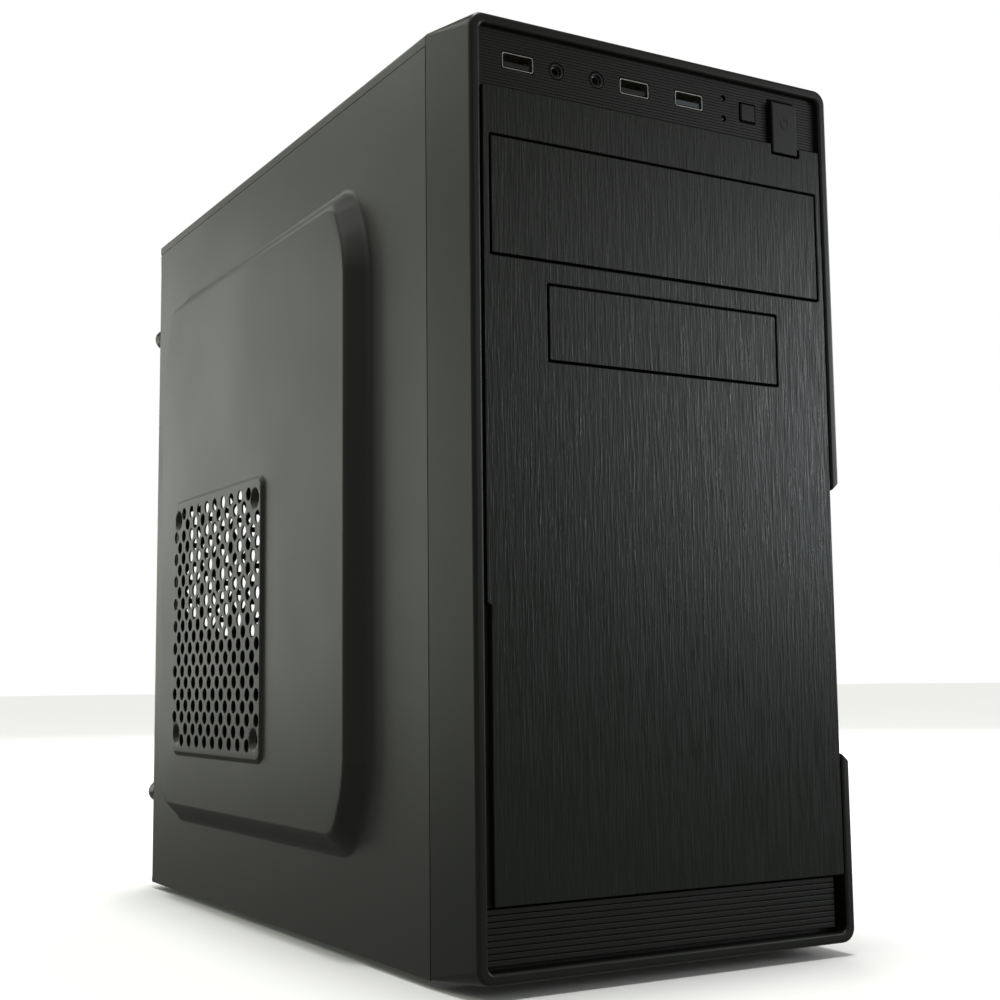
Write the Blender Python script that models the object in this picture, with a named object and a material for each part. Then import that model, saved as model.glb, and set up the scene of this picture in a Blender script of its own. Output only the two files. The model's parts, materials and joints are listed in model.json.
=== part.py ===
"""Desktop computer tower: a short micro-ATX mini tower, built as separate pieces.

Units are metres, +Z is up, the front bezel faces -Y and the vented side panel faces -X.
Shapes are written in case coordinates: x = 0 is the middle of the case, y = 0 is the
chassis's front face and z = 0 is its underside. The empty called case carries them all
and puts the whole object's box centre over the origin, with its feet on z = 0.
"""
import math

import bmesh
import bpy
from mathutils import Matrix, Vector

MM = 0.001

# ---- Chassis -------------------------------------------------------------------------
CHASSIS_W = 169.0 * MM
CHASSIS_H = 341.0 * MM
CHASSIS_D = 318.0 * MM
SHEET = 0.8 * MM
GAP = 0.3 * MM
LIP_H = 4.6 * MM
FLANGE_W = 9.5 * MM
PAN_WALL_H = 10.0 * MM
FRAME_FOLD = 12.0 * MM
AIR_SLOT = (34.0 * MM, 5.0 * MM)
AIR_SLOT_PITCH = (46.0 * MM, 10.0 * MM)
AIR_SLOT_ROWS = 9
AIR_SLOT_LOW = 28.0 * MM
LEAD_HOLE_LOW = 6.0 * MM
LEAD_HOLE_TOP = 2.0 * MM
FOOT_H = 3.0 * MM
FOOT_R = 8.0 * MM
FOOT_INSET_X = 28.0 * MM
FOOT_INSET_Y = 30.0 * MM

# ---- Side panel pressing and vent ----------------------------------------------------
EMBOSS_H = 7.6 * MM
EMBOSS_SLOPE = 10.1 * MM
EMBOSS_FRONT = 47.8 * MM
EMBOSS_REAR = 23.6 * MM
EMBOSS_BOTTOM = 34.5 * MM
EMBOSS_TOP = 38.5 * MM
EMBOSS_CUT_Y = 14.0 * MM
EMBOSS_CUT_Z = 28.0 * MM
VENT_H = 1.4 * MM
VENT_SLOPE = 2.0 * MM
VENT_W = 118.5 * MM
VENT_TALL = 122.0 * MM
VENT_CORNER = 6.0 * MM
VENT_FROM_REAR = 117.3 * MM
VENT_Z = 130.7 * MM
VENT_SCREW_PITCH = 104.8 * MM
VENT_SCREW_R = 2.4 * MM

# ---- Thumbscrews ---------------------------------------------------------------------
SCREW_HEAD_R = 5.5 * MM
SCREW_HEAD_L = 9.2 * MM
SCREW_SHANK_R = 1.7 * MM
SCREW_SHANK_L = 6.0 * MM
SCREW_HOLE_R = 2.1 * MM
SCREW_LOW_Z = 46.0 * MM
SCREW_FROM_TOP = 50.0 * MM
SCREW_NECK = 1.5 * MM
SCREW_EDGE = 0.2 * MM

# ---- Front bezel ---------------------------------------------------------------------
BEZEL_D = 30.5 * MM
BEZEL_DRAFT = 1.9 * MM
BEZEL_WALL = 2.4 * MM
RIM_W = 4.1 * MM
POCKET_D = 2.5 * MM
FLOOR_T = 2.2 * MM
STRIP_H = 22.3 * MM
RIB_AREA_H = 21.2 * MM
RIB_AREA_D = 6.8 * MM
RIB_PITCH = 2.1 * MM
RIB_SLOT = 1.1 * MM
NOTCH_LOW = 73.3 * MM
NOTCH_HIGH = 175.2 * MM
NOTCH_CHAMFER = 5.0 * MM
NOTCH_D = 12.0 * MM
PLATE_T = 2.2 * MM
PLATE_EDGE_GAP = 0.9 * MM
PLATE_STEP = 1.6 * MM
PLATE_STEP_Z = 129.5 * MM

# ---- Drive bays ----------------------------------------------------------------------
LARGE_W = 148.6 * MM
LARGE_H = 42.2 * MM
LARGE_BELOW_STRIP = 39.8 * MM
SMALL_W = 103.2 * MM
SMALL_H = 26.7 * MM
SMALL_BELOW_LARGE = 44.1 * MM
SMALL_X = 0.6 * MM
COVER_GAP = 0.55 * MM
COVER_D = 12.0 * MM
COVER_WALL = 1.8 * MM
CAGE_D = 170.0 * MM
CAGE_SIDE_GAP = 0.7 * MM
DRIVE_FRONT = 12.0 * MM
DRIVE_L = 147.0 * MM
DRIVE_H = 26.0 * MM

# ---- Port strip ----------------------------------------------------------------------
PORT_Z = 11.3 * MM
USB_W = 13.1 * MM
USB_H = 6.0 * MM
USB_X = (-61.5 * MM, -10.4 * MM, 15.2 * MM)
JACK_X = (-45.0 * MM, -27.4 * MM)
JACK_R = 3.1 * MM
JACK_BORE_R = 1.8 * MM
PORT_CLEAR = 0.35 * MM
LIGHT_X = 32.0 * MM
LIGHT_R = 1.0 * MM
LIGHT_DZ = 4.1 * MM
RESET_X = 43.8 * MM
RESET_SIZE = 7.1 * MM
RESET_PROUD = 0.6 * MM
RESET_TRAVEL = 1.2 * MM
POWER_X = 60.6 * MM
POWER_W = 12.5 * MM
POWER_BOTTOM = -3.4 * MM
POWER_TOP = 18.6 * MM
POWER_TRAVEL = 2.0 * MM
BUTTON_CLEAR = 0.4 * MM
BUTTON_LEDGE = 1.1 * MM
BUTTON_LEDGE_T = 1.4 * MM
STEM = 3.0 * MM
STEM_IN = 1.5 * MM
POWER_SWITCH = 12.0 * MM
RESET_SWITCH = 7.2 * MM
BOARD_Y = 15.4 * MM
BOARD_T = 1.6 * MM
PORT_BOARD_H = 21.0 * MM
PORT_BOARD_EDGE = 2.0 * MM
PORT_WALL = 0.5 * MM

# ---- Power supply --------------------------------------------------------------------
PSU_W = 150.0 * MM
PSU_H = 86.0 * MM
PSU_D = 140.0 * MM
PSU_WALL = 1.0 * MM
PSU_BORDER = 5.0 * MM
PSU_FAN = 80.0 * MM
PSU_FAN_X = -26.0 * MM
PSU_FAN_DEPTH = 25.0 * MM
GUARD_RINGS = (12.0 * MM, 20.0 * MM, 28.0 * MM, 36.0 * MM)
GUARD_WIRE = 1.4 * MM
INLET_X = 46.0 * MM
INLET_W = 27.0 * MM
INLET_H = 20.0 * MM
INLET_DZ = 20.0 * MM
ROCKER_W = 12.0 * MM
ROCKER_H = 18.0 * MM
ROCKER_DZ = -20.0 * MM
ROCKER_REST_DEG = -10.0

# ---- Motherboard and what stands on it ------------------------------------------------
TRAY_GAP = 10.2 * MM
TRAY_PAST_BOARD = 50.0 * MM
STUD_R = 3.0 * MM
STUD_INSET = 10.0 * MM
STANDOFF = 6.4 * MM
BOARD_LOW_Z = 5.0 * MM
BOARD_TALL = 244.0 * MM
BOARD_DEEP = 188.0 * MM
IO_TALL = 158.75 * MM
IO_WIDE = 44.45 * MM
IO_UNDER_BOARD = 2.0 * MM
SLOT_PITCH = 20.32 * MM
SLOT_COUNT = 4
SLOT_OPEN_H = 13.0 * MM
SLOT_OPEN_W = 106.0 * MM
SLOT_COVER_H = 18.4 * MM
SLOT_COVER_W = 114.0 * MM
SLOT_FOLD = 10.0 * MM
GRILLE_SIZE = 91.0 * MM
GRILLE_CORNER = 20.0 * MM
GRILLE_FROM_SIDE = 55.3 * MM
GRILLE_Z = 172.0 * MM
GRILLE_PITCH = 10.0 * MM
GRILLE_HOLE_R = 4.1 * MM
CPU_Y = 92.0 * MM
CPU_Z = 172.0 * MM
SINK_SIZE = 80.0 * MM
SINK_H = 42.0 * MM
SINK_BASE = 7.0 * MM
SINK_FINS = 13
CPU_FAN_DEPTH = 22.0 * MM
DIMM_L = 133.4 * MM
DIMM_H = 30.0 * MM
DIMM_T = 3.4 * MM
DIMM_Z = 142.0 * MM
DIMM_FROM_FRONT = (10.0 * MM, 20.0 * MM)
SOCKET_W = 7.0 * MM
SOCKET_H = 9.0 * MM
EXPANSION_L = 89.0 * MM

# ---- Derived places ------------------------------------------------------------------
HALF_W = CHASSIS_W / 2
INNER_W = HALF_W - SHEET - GAP
PANEL_TOP = CHASSIS_H - LIP_H - GAP
BACK_FACE = CHASSIS_D - SHEET - GAP
BACK_INSIDE = BACK_FACE - SHEET - GAP
OVERALL_D = BEZEL_D + CHASSIS_D + GAP + SCREW_HEAD_L
CASE_PLACE = ((EMBOSS_H + VENT_H) / 2, BEZEL_D - OVERALL_D / 2, FOOT_H)

FRONT_Y = -BEZEL_D
POCKET_Y = FRONT_Y + POCKET_D
FLOOR_BACK_Y = POCKET_Y + FLOOR_T
FRONT_HALF_W = HALF_W - BEZEL_DRAFT
OPEN_HALF_W = FRONT_HALF_W - RIM_W
OPEN_LOW = BEZEL_DRAFT + RIM_W
OPEN_HIGH = CHASSIS_H - BEZEL_DRAFT - RIM_W
STRIP_LOW = OPEN_HIGH - STRIP_H
PLATE_LOW = OPEN_LOW + RIB_AREA_H
LARGE_Z = STRIP_LOW - LARGE_BELOW_STRIP
SMALL_Z = LARGE_Z - SMALL_BELOW_LARGE
TRAY_X = HALF_W - SHEET - TRAY_GAP
BOARD_X = TRAY_X - SHEET - STANDOFF
BOARD_FACE_X = BOARD_X - BOARD_T
BOARD_REAR = BACK_INSIDE - 1.5 * MM
BOARD_FRONT = BOARD_REAR - BOARD_DEEP
IO_X = (BOARD_FACE_X + IO_UNDER_BOARD - IO_WIDE, BOARD_FACE_X + IO_UNDER_BOARD)
IO_Z = (BOARD_LOW_Z + BOARD_TALL - IO_TALL - 1.5 * MM, BOARD_LOW_Z + BOARD_TALL - 1.5 * MM)
SLOT_X = (BOARD_FACE_X - SLOT_OPEN_W, BOARD_FACE_X)
PSU_LOW_Z = CHASSIS_H - SHEET - GAP - PSU_H
PSU_Z = PSU_LOW_Z + PSU_H / 2
SCREW_X = HALF_W - SCREW_HEAD_R - SCREW_EDGE
CAGE_LOW_Z = LARGE_Z - LARGE_H / 2 - 2 * SHEET
SCREW_Z = (SCREW_LOW_Z, CHASSIS_H - SCREW_FROM_TOP)
PORT_BOARD_Y = -BOARD_Y - BOARD_T


# ---- Scene and materials -------------------------------------------------------------
for old in list(bpy.data.objects):
    bpy.data.objects.remove(old, do_unlink=True)

case = bpy.data.objects.new("case", None)
case.location = CASE_PLACE
bpy.context.scene.collection.objects.link(case)


def material(name, colour, roughness, metallic=0.0):
    """A Principled material of one colour."""
    made = bpy.data.materials.new(name)
    made.use_nodes = True
    shader = made.node_tree.nodes["Principled BSDF"]
    shader.inputs["Base Color"].default_value = (*colour, 1.0)
    shader.inputs["Roughness"].default_value = roughness
    shader.inputs["Metallic"].default_value = metallic
    return made


PAINT = material("black_painted_steel", (0.020, 0.020, 0.021), 0.45)
ZINC = material("zinc_plated_steel", (0.50, 0.51, 0.52), 0.38, 1.0)
ABS = material("black_abs", (0.012, 0.012, 0.013), 0.42)
BRUSHED = material("brushed_dark_face", (0.030, 0.032, 0.036), 0.35, 0.6)
RUBBER = material("black_rubber", (0.015, 0.015, 0.015), 0.85)
NICKEL = material("nickel_plated_shell", (0.55, 0.55, 0.54), 0.25, 1.0)
LENS = material("clear_light_pipe", (0.55, 0.60, 0.62), 0.15)
BOARD = material("green_circuit_board", (0.010, 0.080, 0.035), 0.40)
PLASTIC = material("dark_nylon", (0.03, 0.03, 0.035), 0.55)
ALUMINIUM = material("extruded_aluminium", (0.72, 0.72, 0.73), 0.32, 1.0)
CABLE = material("pvc_cable", (0.02, 0.02, 0.02), 0.50)


# ---- Outlines ------------------------------------------------------------------------
def rect(u0, u1, v0, v1):
    """A rectangle's four corners."""
    return [(u0, v0), (u1, v0), (u1, v1), (u0, v1)]


def circle(cu, cv, radius, sides):
    """A regular polygon's corners, anticlockwise."""
    step = 2 * math.pi / sides
    return [(cu + radius * math.cos(i * step), cv + radius * math.sin(i * step))
            for i in range(sides)]


def cut_corners(u0, u1, v0, v1, cut_u, cut_v):
    """A rectangle with its four corners cut off at a slant."""
    return [(u0 + cut_u, v0), (u1 - cut_u, v0), (u1, v0 + cut_v), (u1, v1 - cut_v),
            (u1 - cut_u, v1), (u0 + cut_u, v1), (u0, v1 - cut_v), (u0, v0 + cut_v)]


def comb(u0, u1, v0, v1, base, fins):
    """A finned profile: a base along v0 with fins that reach v1."""
    pitch = (u1 - u0) / (fins - 0.5)
    points = [(u0, v0), (u1, v0)]
    for i in reversed(range(fins)):
        left = u0 + i * pitch
        points += [(left + pitch / 2, v1), (left, v1)]
        if i:
            points += [(left, v0 + base), (left - pitch / 2, v0 + base)]
    return points


def place(u, v, along, axis):
    """A point from its two plane coordinates and its place along the third axis."""
    return {"X": (along, u, v), "Y": (u, along, v), "Z": (u, v, along)}[axis]


# ---- Meshes --------------------------------------------------------------------------
def fill(mesh, loops, along, axis):
    """Fill a flat outline and its holes with faces, and return vertices, edges and faces."""
    verts = []
    edges = []
    for loop in loops:
        ring = [mesh.verts.new(place(u, v, along, axis)) for u, v in loop]
        verts += ring
        edges += [mesh.edges.new(pair) for pair in zip(ring, ring[1:] + ring[:1])]
    filled = bmesh.ops.triangle_fill(mesh, use_beauty=True, use_dissolve=False, edges=edges)
    faces = [item for item in filled["geom"] if isinstance(item, bmesh.types.BMFace)]
    return verts, edges, faces


def prism(mesh, outline, low, high, axis, holes=()):
    """A closed solid: an outline with holes, drawn out from low to high along an axis."""
    verts, edges, faces = fill(mesh, [outline, *holes], low, axis)
    shift = Vector(place(0, 0, high - low, axis))
    mate = {vert: mesh.verts.new(vert.co + shift) for vert in verts}
    made = list(faces)
    for face in faces:
        made.append(mesh.faces.new([mate[vert] for vert in reversed(face.verts)]))
    for edge in edges:
        a, b = edge.verts
        made.append(mesh.faces.new((a, b, mate[b], mate[a])))
    bmesh.ops.recalc_face_normals(mesh, faces=made)
    return mesh


def box(mesh, low, high):
    """A closed block between two corners."""
    return prism(mesh, rect(low[0], high[0], low[1], high[1]), low[2], high[2], "Z")


def loft(mesh, sections):
    """A closed solid through rectangles (y, x0, x1, z0, z1) that follow one another."""
    rings = []
    for y, x0, x1, z0, z1 in sections:
        rings.append([mesh.verts.new((x, y, z)) for x, z in rect(x0, x1, z0, z1)])
    for near, far in zip(rings, rings[1:]):
        for i in range(4):
            j = (i + 1) % 4
            mesh.faces.new((near[i], near[j], far[j], far[i]))
    mesh.faces.new(rings[0])
    mesh.faces.new(rings[-1])
    bmesh.ops.recalc_face_normals(mesh, faces=mesh.faces)
    return mesh


def turned(mesh, profile, centre, sides):
    """A closed solid turned about a line along Y, from (y, radius) pairs."""
    rings = []
    for y, radius in profile:
        ring = circle(centre[0], centre[1], radius, sides)
        rings.append([mesh.verts.new((x, y, z)) for x, z in ring])
    for near, far in zip(rings, rings[1:]):
        for i in range(sides):
            j = (i + 1) % sides
            mesh.faces.new((near[i], near[j], far[j], far[i]))
    mesh.faces.new(rings[0])
    mesh.faces.new(rings[-1])
    bmesh.ops.recalc_face_normals(mesh, faces=mesh.faces)
    return mesh


def put(name, mesh, finish, origin=(0, 0, 0), smooth=False, parent=case):
    """Make an object of a mesh, with its own origin at a point of the case."""
    bmesh.ops.translate(mesh, verts=mesh.verts, vec=-Vector(origin))
    data = bpy.data.meshes.new(name)
    mesh.to_mesh(data)
    mesh.free()
    data.materials.append(finish)
    if smooth:
        data.shade_smooth()
        data.set_sharp_from_angle(angle=math.radians(40))
    made = bpy.data.objects.new(name, data)
    made.location = origin
    made.parent = parent
    bpy.context.scene.collection.objects.link(made)
    return made


def solidify(target, thickness=SHEET):
    """Give a folded sheet its thickness, behind its outer face."""
    wall = target.modifiers.new("sheet", "SOLIDIFY")
    wall.thickness = thickness
    wall.offset = -1.0
    wall.use_even_offset = True
    return target


def combine(target, name, mesh, operation):
    """Cut a hidden solid from an object, or join it on."""
    tool = put(name, mesh, ZINC)
    tool.hide_render = True
    tool.display_type = "WIRE"
    step = target.modifiers.new(name, "BOOLEAN")
    step.operation = operation
    step.solver = "EXACT"
    step.object = tool
    return target


def face_out(mesh, direction):
    """Turn an open sheet's faces so that most of its area looks along a direction."""
    bmesh.ops.recalc_face_normals(mesh, faces=mesh.faces)
    outward = sum(face.calc_area() * face.normal.dot(Vector(direction)) for face in mesh.faces)
    if outward < 0:
        bmesh.ops.reverse_faces(mesh, faces=mesh.faces)
    return mesh


def fold(mesh, ends, vector):
    """Fold a flange from the sheet edge that runs between two corners."""
    near = []
    for end in ends:
        near.append(min(mesh.verts, key=lambda vert: (vert.co - Vector(end)).length))
    far = [mesh.verts.new(vert.co + Vector(vector)) for vert in near]
    mesh.faces.new((near[0], near[1], far[1], far[0]))
    return mesh


def weld(mesh):
    """Join the corners that neighbouring regions of a sheet share."""
    bmesh.ops.remove_doubles(mesh, verts=mesh.verts, dist=0.01 * MM)
    return mesh


# ---- Chassis pieces ------------------------------------------------------------------
def make_bottom_pan():
    outer = [(-INNER_W, 0), (INNER_W, 0), (INNER_W, PAN_WALL_H), (INNER_W - SHEET, PAN_WALL_H),
             (INNER_W - SHEET, SHEET), (-INNER_W + SHEET, SHEET), (-INNER_W + SHEET, PAN_WALL_H),
             (-INNER_W, PAN_WALL_H)]
    mesh = prism(bmesh.new(), outer, SHEET + GAP, BACK_INSIDE, "Y")
    put("bottom_pan", mesh, ZINC)


def make_top_cover():
    low = CHASSIS_H - LIP_H
    inside = CHASSIS_H - SHEET
    outer = [(-HALF_W, low), (-HALF_W + SHEET, low), (-HALF_W + SHEET, inside),
             (HALF_W - SHEET, inside), (HALF_W - SHEET, low), (HALF_W, low),
             (HALF_W, CHASSIS_H), (-HALF_W, CHASSIS_H)]
    put("top_cover", prism(bmesh.new(), outer, 0, CHASSIS_D, "Y"), PAINT)


def make_front_frame():
    """The steel front wall, with bay, port and air openings and two folded side rails."""
    low = SHEET + GAP
    high = CHASSIS_H - SHEET - GAP
    side = INNER_W - SHEET - GAP
    holes = [rect(-LARGE_W / 2 - COVER_GAP, LARGE_W / 2 + COVER_GAP,
                  LARGE_Z - LARGE_H / 2 - COVER_GAP, LARGE_Z + LARGE_H / 2 + COVER_GAP),
             rect(SMALL_X - SMALL_W / 2 - COVER_GAP, SMALL_X + SMALL_W / 2 + COVER_GAP,
                  SMALL_Z - SMALL_H / 2 - COVER_GAP, SMALL_Z + SMALL_H / 2 + COVER_GAP),
             rect(USB_X[0] - USB_W, POWER_X + POWER_W,
                  STRIP_LOW - LEAD_HOLE_LOW, OPEN_HIGH - LEAD_HOLE_TOP)]
    for column in (-1, 0, 1):
        for row in range(AIR_SLOT_ROWS):
            middle = column * AIR_SLOT_PITCH[0]
            z = AIR_SLOT_LOW + row * AIR_SLOT_PITCH[1]
            holes.append(rect(middle - AIR_SLOT[0] / 2, middle + AIR_SLOT[0] / 2, z, z + AIR_SLOT[1]))
    mesh = bmesh.new()
    fill(mesh, [rect(-side, side, low, high), *holes], 0, "Y")
    for edge in (-side, side):
        fold(mesh, ((edge, 0, low), (edge, 0, high)), (0, FRAME_FOLD, 0))
    solidify(put("front_frame", face_out(mesh, (0, -1, 0)), ZINC))


def grille_holes():
    """Six-sided air holes in a rounded square on the rear wall."""
    centre_x = -HALF_W + GRILLE_FROM_SIDE
    reach = GRILLE_SIZE / 2 - GRILLE_HOLE_R
    corner = GRILLE_CORNER - GRILLE_HOLE_R
    column_step = GRILLE_PITCH * math.sqrt(3) / 2
    columns = int(reach / column_step)
    rows = int(reach / GRILLE_PITCH) + 1
    holes = []
    for column in range(-columns, columns + 1):
        for row in range(-rows, rows + 1):
            u = column * column_step
            v = row * GRILLE_PITCH + (column % 2) * GRILLE_PITCH / 2
            past_u = abs(u) - (reach - corner)
            past_v = abs(v) - (reach - corner)
            in_corner = past_u <= 0 or past_v <= 0 or math.hypot(past_u, past_v) <= corner
            if abs(v) <= reach and in_corner:
                holes.append(circle(centre_x + u, GRILLE_Z + v, GRILLE_HOLE_R, 6))
    return holes


def slot_z(index):
    """The height of one expansion slot's middle."""
    return BOARD_LOW_Z + 8.5 * MM + index * SLOT_PITCH


def make_rear_panel():
    """The steel rear wall: supply, socket and slot openings, air holes and screw holes."""
    low = SHEET + GAP
    high = CHASSIS_H - SHEET - GAP
    holes = [rect(-PSU_W / 2 + PSU_BORDER, PSU_W / 2 - PSU_BORDER,
                  PSU_LOW_Z + PSU_BORDER, PSU_LOW_Z + PSU_H - PSU_BORDER),
             rect(*IO_X, *IO_Z)]
    for index in range(SLOT_COUNT):
        middle = slot_z(index)
        holes.append(rect(*SLOT_X, middle - SLOT_OPEN_H / 2, middle + SLOT_OPEN_H / 2))
    for side in (-1, 1):
        holes += [circle(side * SCREW_X, z, SCREW_HOLE_R, 8) for z in SCREW_Z]
    mesh = prism(bmesh.new(), rect(-INNER_W, INNER_W, low, high), BACK_FACE - SHEET, BACK_FACE,
                 "Y", holes + grille_holes())
    put("rear_panel", mesh, PAINT)


def make_tray():
    """The motherboard tray with its pressed stand-offs."""
    low = SHEET + GAP
    high = CAGE_LOW_Z - GAP
    front = BOARD_FRONT - TRAY_PAST_BOARD
    mesh = prism(bmesh.new(), rect(front, BACK_INSIDE, low, high), TRAY_X - SHEET, TRAY_X, "X")
    tray = put("motherboard_tray", mesh, ZINC)
    studs = bmesh.new()
    for y in (BOARD_FRONT + STUD_INSET, BOARD_FRONT + BOARD_DEEP / 2, BOARD_REAR - STUD_INSET):
        for z in (BOARD_LOW_Z + STUD_INSET, BOARD_LOW_Z + BOARD_TALL - STUD_INSET):
            prism(studs, circle(y, z, STUD_R, 8), BOARD_X + GAP, TRAY_X - SHEET / 2, "X")
    combine(tray, "tray_studs", studs, "UNION")


def make_cage():
    """The riveted drive cage: the wide bay above the narrow one, standing on the tray."""
    wide = LARGE_W / 2 + CAGE_SIDE_GAP
    narrow = (SMALL_X - SMALL_W / 2 + SHEET, SMALL_X + SMALL_W / 2 - SHEET)
    top = LARGE_Z + LARGE_H / 2 + 2 * SHEET
    floor = CAGE_LOW_Z + SHEET
    bottom = SMALL_Z - SMALL_H / 2 - SHEET
    # A bay whose wall stands short of the tray has its floor run out as a ledge above it.
    right_foot = [(wide + SHEET, floor - SHEET)]
    if TRAY_X > wide + SHEET:
        right_foot = [(TRAY_X, floor - SHEET), (TRAY_X, floor), (wide + SHEET, floor)]
    outline = [(narrow[0] - SHEET, bottom), (narrow[1] + SHEET, bottom),
               (narrow[1] + SHEET, floor - SHEET), *right_foot,
               (wide + SHEET, top), (-wide - SHEET, top), (-wide - SHEET, floor - SHEET),
               (narrow[0] - SHEET, floor - SHEET)]
    holes = [rect(-wide, wide, floor, top - SHEET),
             rect(*narrow, bottom + SHEET, floor - SHEET)]
    mesh = prism(bmesh.new(), outline, SHEET + GAP, CAGE_D, "Y", holes)
    put("drive_cage", mesh, ZINC)
    drive_w = narrow[1] - narrow[0] - 2 * GAP
    drive = box(bmesh.new(),
                (SMALL_X - drive_w / 2, DRIVE_FRONT, bottom + SHEET + GAP),
                (SMALL_X + drive_w / 2, DRIVE_FRONT + DRIVE_L, bottom + SHEET + GAP + DRIVE_H))
    put("hard_drive", drive, ALUMINIUM)


def make_feet():
    for row, y in (("front", FOOT_INSET_Y), ("rear", CHASSIS_D - FOOT_INSET_Y)):
        for side, sign in (("left", -1), ("right", 1)):
            x = sign * (HALF_W - FOOT_INSET_X)
            mesh = bmesh.new()
            prism(mesh, circle(x, y, FOOT_R, 20), -FOOT_H, -GAP, "Z")
            put(f"foot_{row}_{side}", mesh, RUBBER, origin=(x, y, -FOOT_H), smooth=True)


# ---- Side panels ---------------------------------------------------------------------
def panel_flange(mesh, sign):
    """Fill the rear flange of a side panel, round its two screw holes."""
    x = sign * HALF_W
    inner = sign * (HALF_W - FLANGE_W)
    holes = [circle(sign * SCREW_X, z, SCREW_HOLE_R, 8) for z in SCREW_Z]
    fill(mesh, [rect(min(x, inner), max(x, inner), 0, PANEL_TOP), *holes], CHASSIS_D, "Y")


def ring_between(mesh, near, far):
    """Slanted faces between two outlines with the same number of points."""
    count = len(near)
    rings = [[mesh.verts.new(point) for point in loop] for loop in (near, far)]
    for i in range(count):
        j = (i + 1) % count
        mesh.faces.new((rings[0][i], rings[0][j], rings[1][j], rings[1][i]))


def make_left_panel():
    """The vented panel: a flat sheet with one large pressing and a raised vent field."""
    face = -HALF_W
    plateau = face - EMBOSS_H
    vent = plateau - VENT_H
    outer = (EMBOSS_FRONT, CHASSIS_D - EMBOSS_REAR, EMBOSS_BOTTOM, CHASSIS_H - EMBOSS_TOP)
    slope = EMBOSS_SLOPE
    inner = (outer[0] + slope, outer[1] - slope, outer[2] + slope, outer[3] - slope)
    foot = cut_corners(*outer, EMBOSS_CUT_Y, EMBOSS_CUT_Z)
    top = cut_corners(*inner, EMBOSS_CUT_Y - slope / 4, EMBOSS_CUT_Z - slope / 4)
    vent_y = CHASSIS_D - VENT_FROM_REAR
    half = (VENT_W / 2, VENT_TALL / 2)
    field = (vent_y - half[0], vent_y + half[0], VENT_Z - half[1], VENT_Z + half[1])
    skirt = (field[0] - VENT_SLOPE, field[1] + VENT_SLOPE,
             field[2] - VENT_SLOPE, field[3] + VENT_SLOPE)
    vent_top = cut_corners(*field, VENT_CORNER, VENT_CORNER)
    vent_foot = cut_corners(*skirt, VENT_CORNER, VENT_CORNER)
    reach = VENT_SCREW_PITCH / 2
    screws = [circle(vent_y + i * reach, VENT_Z + j * reach, VENT_SCREW_R, 8)
              for i in (-1, 1) for j in (-1, 1)]
    mesh = bmesh.new()
    fill(mesh, [rect(GAP, CHASSIS_D, 0, PANEL_TOP), foot], face, "X")
    fill(mesh, [top, vent_foot], plateau, "X")
    fill(mesh, [vent_top, *screws], vent, "X")
    ring_between(mesh, [(face, *p) for p in foot], [(plateau, *p) for p in top])
    ring_between(mesh, [(plateau, *p) for p in vent_foot], [(vent, *p) for p in vent_top])
    panel_flange(mesh, -1)
    solidify(put("left_side_panel", face_out(weld(mesh), (-1, 0, 0)), PAINT))


def make_right_panel():
    mesh = bmesh.new()
    fill(mesh, [rect(GAP, CHASSIS_D, 0, PANEL_TOP)], HALF_W, "X")
    panel_flange(mesh, 1)
    solidify(put("right_side_panel", face_out(weld(mesh), (1, 0, 0)), PAINT))


def make_thumbscrews():
    """Captive screws with wide heads, two to each side panel."""
    for side, sign in (("left", -1), ("right", 1)):
        for level, z in zip(("lower", "upper"), SCREW_Z):
            x = sign * SCREW_X
            head = CHASSIS_D + GAP
            profile = [(head - SCREW_SHANK_L, SCREW_SHANK_R), (head, SCREW_SHANK_R),
                       (head, SCREW_HEAD_R - SCREW_NECK),
                       (head + SCREW_NECK, SCREW_HEAD_R - SCREW_NECK),
                       (head + SCREW_NECK, SCREW_HEAD_R), (head + SCREW_HEAD_L, SCREW_HEAD_R)]
            mesh = turned(bmesh.new(), profile, (x, z), 16)
            put(f"thumbscrew_{side}_{level}", mesh, ZINC, origin=(x, head, z), smooth=True)


# ---- Front bezel ---------------------------------------------------------------------
def bay_rect(width, height, x, z, clear):
    """A bay's outline with clearance all round."""
    return rect(x - width / 2 - clear, x + width / 2 + clear,
                z - height / 2 - clear, z + height / 2 + clear)


def power_rect(clear):
    """The power button's outline on the port strip, with clearance all round."""
    return rect(POWER_X - POWER_W / 2 - clear, POWER_X + POWER_W / 2 + clear,
                STRIP_LOW + POWER_BOTTOM - clear, STRIP_LOW + POWER_TOP + clear)


def strip_openings():
    """Outlines of every opening through the port strip."""
    z = STRIP_LOW + PORT_Z
    half_w = USB_W / 2 + PORT_CLEAR
    half_h = USB_H / 2 + PORT_CLEAR
    holes = [rect(x - half_w, x + half_w, z - half_h, z + half_h) for x in USB_X]
    holes += [circle(x, z, JACK_R + PORT_CLEAR, 16) for x in JACK_X]
    holes += [circle(LIGHT_X, z + dz, LIGHT_R + PORT_CLEAR, 8) for dz in (-LIGHT_DZ, LIGHT_DZ)]
    half = RESET_SIZE / 2 + BUTTON_CLEAR
    holes.append(rect(RESET_X - half, RESET_X + half, z - half, z + half))
    holes.append(power_rect(BUTTON_CLEAR))
    return holes


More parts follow.
